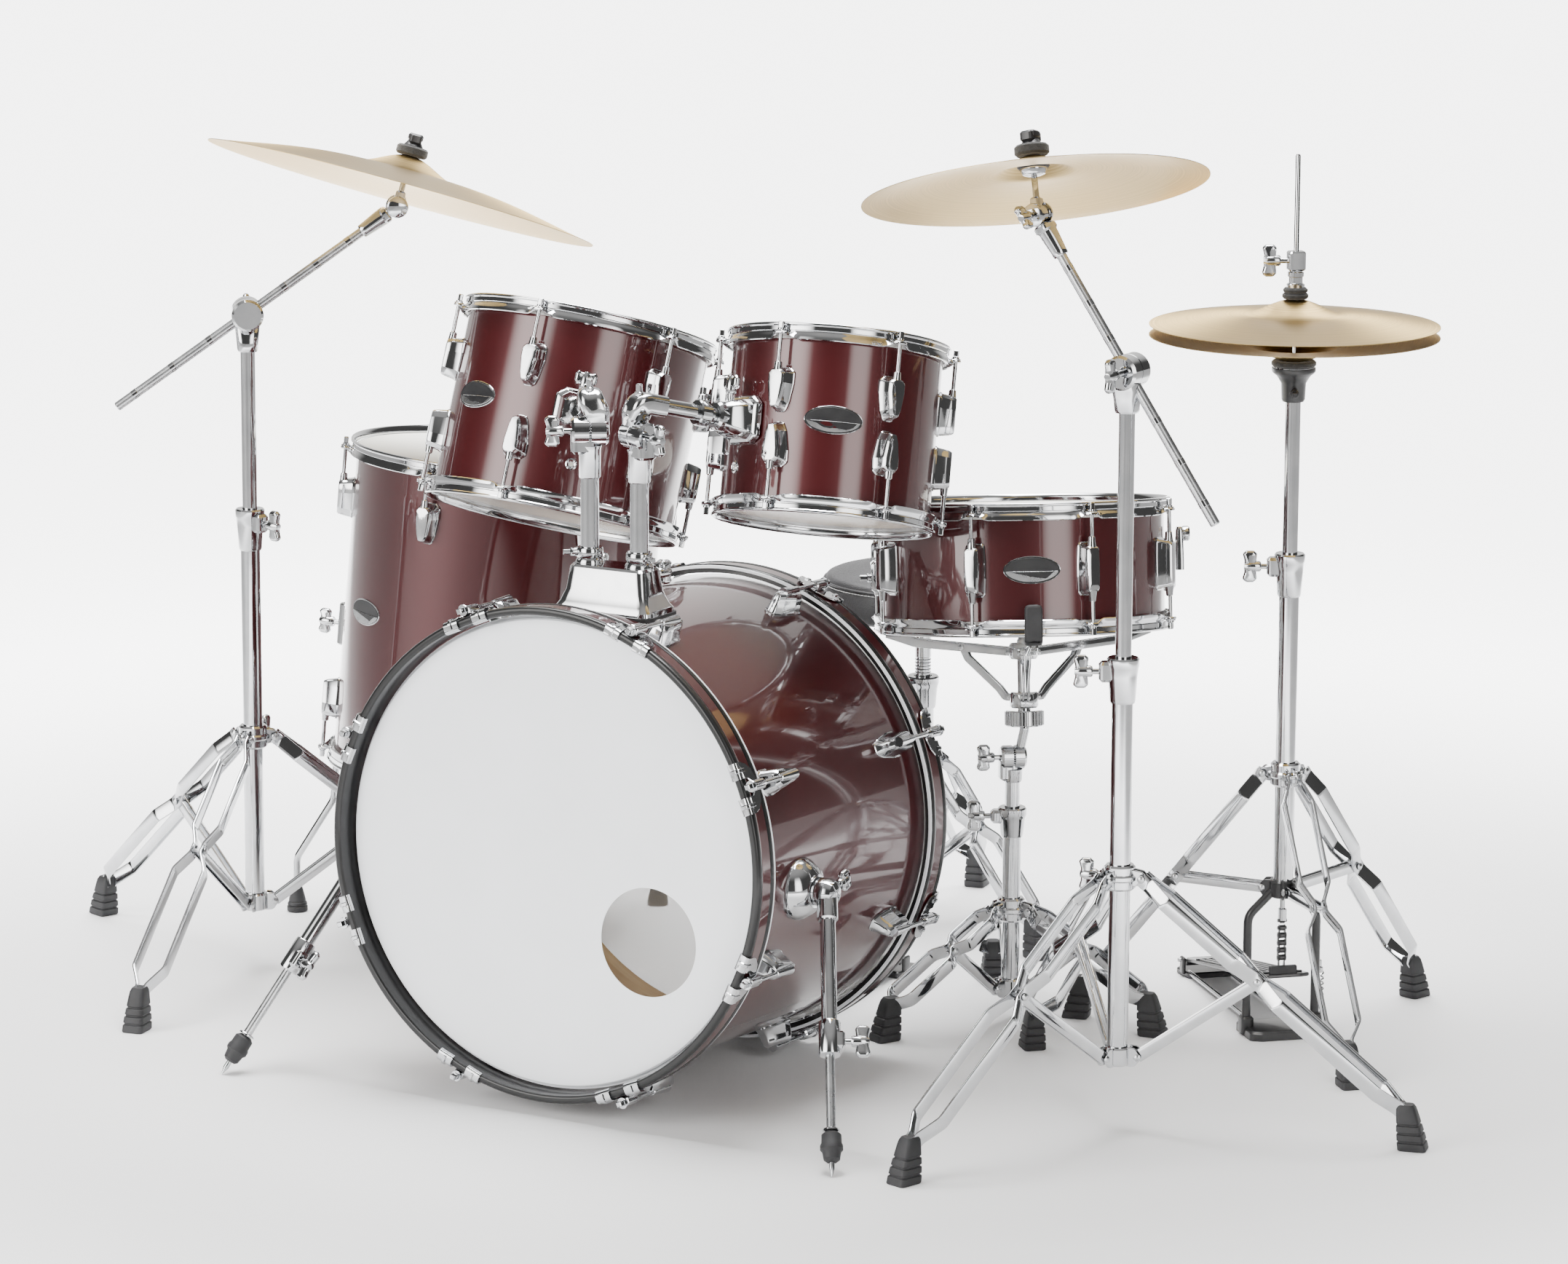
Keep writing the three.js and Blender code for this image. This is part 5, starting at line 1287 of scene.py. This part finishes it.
def snare_stand(place, radius, half):
    """Tripod, tubes and ratchet tilter, with the basket that hangs on the drum's own axis above it."""
    pivot = joint_at("snare_tilt")
    hinge = joint_axis("snare_tilt")
    at = Vector((pivot.x, pivot.y, 0))
    stand = shift(at.x, at.y, 0)
    tube, tube_radius, height_z = "snare_tube", 11.5, 255
    tripod("snare_stand", at, leg_angles=(244.9, 4.9, 124.9), foot_radius=195, collar_z=142, hub_z=41.5,
           tube_radius=tube_radius, replaces=["snare_stand_base"])
    tube_piece("snare_stand_lower_tube", stand, tube_radius, 10, 32, height_z + 7)
    height_collar("snare_stand", stand, tube_radius, 10, height_z, angle=210, size=0.7)
    tube_piece("snare_stand_upper_tube", stand, 9.25, 7.5, 110, pivot.z - 24, tube, ["snare_stand_tube"])
    across = basis(pivot, hinge, UP)
    lower = toothed_disc(15, -16, -0.3).moved(across)
    neck = slab(23, 19, 27, 6, 2.4, 4).moved(basis(pivot - UP * 15, UP, hinge) @ shift(-6, 0, 0))
    sleeve = turned(pivot - UP * 31, pivot, [(0, 0), (11, 0), (12, 2), (12.4, 16), (0, 20)], 28)
    piece("snare_tilter_lower", join(lower, neck, sleeve), "chrome", tube)
    piece("snare_tilter_bolt", wing_bolt(pivot - hinge * 13, hinge * -1, 24, 17, UP), "chrome", tube)
    body = "snare_basket"
    axis, centre = place.to_3x3().col[2], place.translation

    def line(below):
        return centre - axis * below
    upper = toothed_disc(15, 16, 0.3).moved(across)
    link = wire(bent([pivot + hinge * 9, pivot + hinge * 9 + UP * 10, line(206), line(190)], 6), 6.2, 22)
    post = turned(line(200), line(90), [(0, 0), (7, 0), (8, 1), (8, 104), (6, 108), (0, 108)], 32)
    piece("snare_tilter_upper", join(upper, link, post), "chrome", body, None, ["snare_stand_basket"])
    knurl = [slab(2.4, 1.6, 17, 0.6, 0.4).moved(spin(10 * k) @ shift(23.6, 0, 0)) for k in range(36)]
    nut = join(lathe([(8.2, -10), (22.4, -10), (23.6, -8.5), (23.6, 8.5), (22.4, 10), (8.2, 10)], 48,
                     loop=True), knurl)
    hub = lathe([(8.2, -10), (16, -10), (18, -7), (18, 7), (16, 10), (8.2, 10)], 40, loop=True)
    piece("snare_basket_nut", nut.moved(basis(line(193), axis)), "chrome", body)
    piece("snare_basket_hubs", [hub.moved(basis(line(109), axis)), hub.moved(basis(line(170), axis))],
          "chrome", body)
    snare_basket(place, radius, half)


def snare_basket(place, radius, half):
    """Three arms of two strips each, with stays, rivets and rubber grips round the bottom hoop."""
    body = "snare_basket"
    arms, stays, pins, grips = [], [], [], []
    seat = half + HOOP_RISE + 0.4
    meeting = 84  # where a stay is riveted to its arm
    meeting_z = -110 + (92 - seat) * (meeting - 14) / 136
    for angle in BASKET_ANGLES:
        local = spin(angle)
        side = Y_AXIS
        for s in (-1, 1):
            arm = bent([(14, s * 5, -110), (150, s * 5, -seat - 18), (190, s * 4, -seat - 7)], 30, 5)
            arms.append(strap(arm, 11, 2.4, side).moved(local))
            stay = bent([(14, s * 3, -167), (25, s * 3, -167), (34, s * 3, -156),
                         (meeting - 7, s * 3, meeting_z - 14), (meeting, s * 3, meeting_z)], 4, 2)
            stays.append(strap(stay, 9, 2, side).moved(local))
        pins.append(rivet(Vector((meeting, 0, meeting_z)), side, 13, 3.8).moved(local))
        pins.append(rivet(Vector((18, 0, -111)), side, 13, 3.8).moved(local))
        pins.append(rivet(Vector((18, 0, -166)), side, 9, 3.8).moved(local))
        out = radius + HOOP_LIP
        claw = bent([(out - 16, 0, -seat - 5.5), (out + 6.5, 0, -seat - 5.5), (out + 6.5, 0, -seat + 36)],
                    9, 6)
        claw += [claw[-1] + UP * 3, claw[-1] + UP * 4.6]
        taper = [1.0] * (len(claw) - 2) + [0.86, 0.55]
        grips.append(sweep(claw, rounded(rect(9.5, 22), 3.8, 4), Vector((0.7, 0, 0.72)), taper).moved(local))
    piece("snare_basket_arms", [a.moved(place) for a in arms], "chrome", body)
    piece("snare_basket_stays", [a.moved(place) for a in stays], "chrome", body)
    piece("snare_basket_pins", [a.moved(place) for a in pins], "satin", body)
    piece("snare_basket_grips", [a.moved(place) for a in grips], "rubber", body)


# ---- bass drum pedal
def bass_pedal():
    axle = joint_at("beater_swing")
    heel = Vector((axle.x, joint_at("bass_pedal_press").y, 22))
    pedal_frame(axle, heel.y)
    pedal_beater(axle)
    toe = Vector((axle.x, axle.y + 26, 78))
    board = footboard("pedal_board_plate", heel, toe, 70, "pedal_board", ["pedal_footboard"])
    clamp = slab(12, 20, 8, 2, 1).moved(shift((toe - heel).length - 12, 0, 5))
    piece("pedal_board_clamp", clamp, "chrome", "pedal_board", board)
    chain_top = Vector((axle.x, axle.y + 29, 115))
    piece("pedal_chain", chain_form(chain_top, 5, 9, X_AXIS), "chrome", "pedal_board")


def pedal_frame(axle, heel):
    """Toe and heel plates, two posts, rails, hoop clamp and the return spring."""
    x, front = axle.x, low("pedal_frame").y
    toe_shape = rounded([(-80, 0), (80, 0), (80, 50), (46, 78), (-46, 78), (-80, 50)], 8, 4)
    plate_form = plate(toe_shape, 6, 1.4).moved(shift(x, front, 3))
    posts = []
    for s in (-1, 1):
        outline = rounded([(-10, 0), (12, 0), (11, 90), (12, 124), (10, 146), (-10, 146), (-11, 120),
                           (-9, 90)], 5, 4)
        posts.append(plate(outline, 9, 2).moved(shift(x + s * 42, axle.y, 0) @ OUTWARD))
        posts.append(ring(5.8, 11, -7, 7, 1.4).moved(
            shift(x + s * 42, axle.y, axle.z) @ Matrix.Rotation(math.pi / 2, 4, "Y")))
    heel_form = plate(rounded([(-36, -20), (36, -20), (38, 28), (30, 36), (-30, 36), (-38, 28)], 7, 4), 9, 2)
    ears = [slab(5, 16, 20, 4, 1.4).moved(shift(x + s * 35, heel, 17)) for s in (-1, 1)]
    piece("pedal_plates", join(plate_form, heel_form.moved(shift(x, heel, 5)), ears), "black_metal", ROOT,
          None, ["pedal_frame"])
    piece("pedal_posts", posts, "satin")
    rails = [pin(Vector((x + s * 20, front + 30, 6)), Vector((x + s * 20, heel, 6)), 3.4) for s in (-1, 1)]
    piece("pedal_rails", rails, "chrome")
    clamp = slab(44, 12, 9, 3, 1.6).moved(shift(x, front + 12, 12))
    knob = wing_bolt(Vector((x + 62, front + 30, 6)), Vector((0.35, 0.2, 0.9)).normalized(), 26, 15,
                     X_AXIS)
    piece("pedal_hoop_clamp", join(clamp, knob), "chrome")
    coil = coil_path((x + 62, axle.y, 26), 7, 1.0, 200)
    piece("pedal_spring", wire(coil, 1.2, 8), "chrome")


def pedal_beater(axle):
    """Axle and cam with the beater's shaft, leaning back to its rest, and its felt head."""
    beater, lean = "beater", math.radians(40)
    shaft_axis = Vector((0, math.sin(lean), math.cos(lean)))
    facing = Vector((0, -shaft_axis.z, shaft_axis.y))
    head = axle + shaft_axis * 185
    rod = pin(axle - shaft_axis * 16, head + shaft_axis * 10, 3.7)
    bar = pin(axle - Vector((54, 0, 0)), axle + Vector((54, 0, 0)), 4.6)
    cam = turned(axle - Vector((9, 0, 0)), axle, [(0, 0), (16, 0), (16.5, 1.5), (13, 4), (13, 14),
                                                  (16.5, 16.5), (16, 18), (0, 18)], 36)
    block = slab(20, 18, 26, 5, 2).moved(basis(axle + shaft_axis * 6, shaft_axis) @ shift(20, 0, 0))
    piece("pedal_axle", join(rod, bar, block), "chrome", beater, None, ["pedal_beater"])
    piece("pedal_cam", cam, "black_plastic", beater)
    felt = turned(head - facing * 18, head, [(0, 0), (20, 0), (23, 2.5), (24, 8), (24, 34), (22.5, 41),
                                             (18, 44), (0, 44)], 40)
    piece("pedal_beater_felt", felt, "felt", beater)
    wheel = lathe([(24.1, -5), (24.9, -4), (24.9, 4), (24.1, 5)], 40, loop=True)
    piece("pedal_beater_band", wheel.moved(basis(head + facing * 4, facing)), "black_plastic", beater)


# ---- throne
def throne():
    at = joint_at("throne_seat_spin")
    at.z = 0
    place = shift(at.x, at.y, 0)
    tube_radius, tube_inner, height_z = 15, 12.2, 320
    tripod("throne", at, leg_angles=(-20.4, 99.6, 219.6), foot_radius=236, collar_z=232, hub_z=96,
           tube_radius=tube_radius, replaces=["throne_base"])
    tube_piece("throne_tube", place, tube_radius, tube_inner, 84, height_z + 10)
    height_collar("throne", place, tube_radius, tube_inner, height_z, angle=250, size=0.8)
    body = "throne_seat"
    thread = [(11, 200)]
    for k in range(24):
        z = 262 + k * 4.4
        thread += [(11, z), (10.2, z + 1.1), (10.2, z + 2.6), (11, z + 3.6)]
    spindle = lathe([(0, 200), *thread, (11, 416), (0, 416)], 32)
    mount = lathe([(0, 412), (52, 412), (58, 416), (70, 418), (70, 426), (0, 426)], 40)
    piece("throne_spindle", spindle, "chrome", body, place)
    piece("throne_mount", mount, "black_metal", body, place)
    throne_cushion(place, body, high("throne_seat").x - at.x - 2)


def throne_cushion(place, body, radius):
    """Padded round seat with a rounded crown, a piped seam and its stitches."""
    bottom, top = 426, high("throne_seat").z
    side = [(0, bottom), (radius - 14, bottom), (radius - 6, bottom + 1.5), (radius - 1.4, bottom + 6),
            (radius + 0.6, bottom + 20), (radius, bottom + 36), (radius - 3, bottom + 44),
            (radius - 4.6, bottom + 45.4), (radius - 5.4, bottom + 46.6), (radius - 6.4, bottom + 49)]
    crown = [(radius * math.cos(a) * 0.955, bottom + 49 + (top - bottom - 50) * math.sin(a) ** 0.8)
             for a in [math.radians(10 + 8 * k) for k in range(10)]]
    cushion = lathe([*side, *crown, (0, top)], 96)
    seat = []  # small gathers pull the cover in along its seam
    for v in cushion.verts:
        angle = math.atan2(v.y, v.x)
        spoke = math.hypot(v.x, v.y) / radius
        pull = 0.5 * math.sin(angle * 22 + 1.2 * math.sin(angle * 5)) + 0.35 * math.sin(angle * 41 + 0.7)
        near_seam = math.exp(-((v.z - bottom - 40) / 9) ** 2) * (spoke > 0.5)
        seat.append(v + Vector((v.x, v.y, 0)).normalized() * pull * near_seam if spoke > 0.5 else v)
    cover = piece("throne_cushion", Form(seat, cushion.faces), "vinyl", body, place, ["throne_seat"],
                  sharp=60)
    cord = [polar(radius - 4.0, 3.75 * k, bottom + 46) for k in range(97)]
    piece("throne_piping", wire(cord, 1.7, 10), "vinyl", body, place)
    stitch = slab(4.4, 0.9, 0.9, 0.35, 0.2)
    count = 150
    stitches = [stitch.moved(spin(360 / count * k) @ shift(radius - 2.0, 0, bottom + 42.5) @ spin(90))
                for k in range(count)]
    piece("throne_stitches", stitches, "thread", body, place)


# ---- floor, light
def scaled(nodes, links, source, low_value, high_value, start, end):
    """A smooth step of a number from one value to another."""
    step = node(nodes, "ShaderNodeMapRange", From_Min=start, From_Max=end, To_Min=low_value,
                To_Max=high_value)
    step.interpolation_type = "SMOOTHSTEP"
    links.new(source, step.inputs["Value"])
    return step.outputs["Result"]


def reach_along(nodes, links, source, direction):
    """How far a point lies along a direction."""
    reach = nodes.new("ShaderNodeVectorMath")
    reach.operation = "DOT_PRODUCT"
    reach.inputs[1].default_value = direction
    links.new(source, reach.inputs[0])
    return reach.outputs["Value"]


def floor_material():
    material = surface("floor", (0.76, 0.76, 0.77), (0.8, 0.8, 0.8), (0.6, 0.7), 0.6)
    nodes, links = material.node_tree.nodes, material.node_tree.links
    point = nodes.new("ShaderNodeTexCoord").outputs["Object"]
    length = nodes.new("ShaderNodeVectorMath")
    length.operation = "LENGTH"
    links.new(point, length.inputs[0])
    across = reach_along(nodes, links, point, polar(1, CAMERA_TURN))
    away = reach_along(nodes, links, point, polar(1, CAMERA_TURN + 90))
    beside = node(nodes, "ShaderNodeMath")
    beside.operation = "ABSOLUTE"
    links.new(across, beside.inputs[0])
    edge = node(nodes, "ShaderNodeMath")
    edge.operation = "MULTIPLY_ADD"
    edge.inputs[1].default_value = -0.14
    links.new(away, edge.inputs[0])
    links.new(beside.outputs["Value"], edge.inputs[2])
    glow = scaled(nodes, links, length.outputs["Value"], 0.03, 5.0, 1.0, 2.6)
    for mask in (scaled(nodes, links, edge.outputs["Value"], 1, 0.04, 1.35, 2.2),
                 scaled(nodes, links, away, 0.04, 1, -3.1, -2.1)):
        product = node(nodes, "ShaderNodeMath")
        product.operation = "MULTIPLY"
        links.new(glow, product.inputs[0])
        links.new(mask, product.inputs[1])
        glow = product.outputs["Value"]
    shader = nodes["Principled BSDF"]
    shader.inputs["Emission Color"].default_value = (1, 1, 1, 1)
    links.new(glow, shader.inputs["Emission Strength"])
    return material


def studio_world():
    """A dim room: a wide soft strip to the camera's left, a slim one to its right and a paler backdrop."""
    world = bpy.data.worlds.new("studio")
    world.use_nodes = True
    nodes, links = world.node_tree.nodes, world.node_tree.links
    direction = nodes.new("ShaderNodeTexCoord").outputs["Generated"]
    level = nodes.new("ShaderNodeVectorMath")
    level.operation = "MULTIPLY"
    level.inputs[1].default_value = (1, 1, 0)
    compass = nodes.new("ShaderNodeVectorMath")
    compass.operation = "NORMALIZE"
    links.new(direction, level.inputs[0])
    links.new(level.outputs["Vector"], compass.inputs[0])
    height = reach_along(nodes, links, direction, UP)
    total = scaled(nodes, links, height, 0.1, 0.6, 0.5, 0.97)
    for name, angle, outer, core, strength in (("key", -114, 27, 5, 9.0), ("fill", -33, 15, 3, 5.5),
                                               ("backdrop", 120, 52, 20, 1.3)):
        toward = reach_along(nodes, links, compass.outputs["Vector"], polar(1, angle))
        edges = [math.cos(math.radians(half_width)) for half_width in (outer, core)]
        strip = scaled(nodes, links, toward, 0, strength, *edges)
        low_part = scaled(nodes, links, height, 1, 0, 0.4, 0.75)
        more = node(nodes, "ShaderNodeMath")
        more.operation, more.name = "MULTIPLY_ADD", name
        for source, socket in zip((strip, low_part, total), more.inputs):
            links.new(source, socket)
        total = more.outputs["Value"]
    links.new(total, nodes["Background"].inputs["Strength"])
    nodes["Background"].inputs["Color"].default_value = (1.0, 0.985, 0.96, 1)
    bpy.context.scene.world = world


def soft_box(name, place, width, height, power):
    light = bpy.data.lights.new(name, "AREA")
    light.shape, light.size, light.size_y, light.energy = "RECTANGLE", width, height, power
    lamp = bpy.data.objects.new(name, light)
    lamp.matrix_world = basis(place, place - UP * 0.75, UP)
    lamp.matrix_world = lamp.matrix_world @ spin(90)
    lamp.visible_camera = lamp.visible_glossy = False
    bpy.context.scene.collection.objects.link(lamp)


def make_stage():
    bpy.ops.mesh.primitive_plane_add(size=60, location=(0, 0, 0))
    floor = bpy.context.object
    floor.name = "floor"
    floor.data.materials.append(floor_material())
    studio_world()
    soft_box("key", polar(3.6, -114, 1.55), 2.6, 2.0, 55)
    soft_box("fill", polar(3.8, -33, 1.55), 1.3, 2.0, 22)
    light = bpy.data.lights.new("overhead", "AREA")
    light.shape, light.size, light.size_y, light.energy = "RECTANGLE", 2.6, 2.6, 150
    lamp = bpy.data.objects.new("overhead", light)
    light.spread = math.radians(85)
    lamp.location = (-0.5, 0.6, 2.9)
    bpy.context.scene.collection.objects.link(lamp)


# ---- assembly
# side, diameter and depth in inches, first lug's angle, badge's place in half lug steps, vent's angle
TOMS = (("left", 12, 9, -21, -3, -54), ("right", 10, 8, -30.5, -1, -122))
make_camera()
make_stage()
bass_drum()
spur("left", -1)
spur("right", 1)
tom_holder()
for side, diameter, depth, phase, badge_turn, vent_angle in TOMS:
    tom_place, tom_radius, tom_half = drum(f"{side}_tom", f"{side}_tom", diameter, depth, 6, phase,
                                           badge_turn)
    vent(f"{side}_tom", tom_radius, vent_angle, -tom_half * 0.58, f"{side}_tom", tom_place)
    tom_arm(side, tom_radius, tom_place)
floor_place, floor_radius, _ = drum("floor_tom", ROOT, 16, 16, 6, -27, -3, top="cream_head", wall=7)
floor_tom_legs(floor_place, floor_radius)
snare()
# a stand's leg angles, the heights of its two collars, its wing bolt's angle, cymbal and rim height
boom_stand("left", (160.4, 280.4, 40.4), 305, 578, -15, (254, 27, 64, 22), 18)
boom_stand("right", (254, 14, 134), 302, 538, 210, (203, 22, 52, 20), 28)
hi_hat()
bass_pedal()
throne()
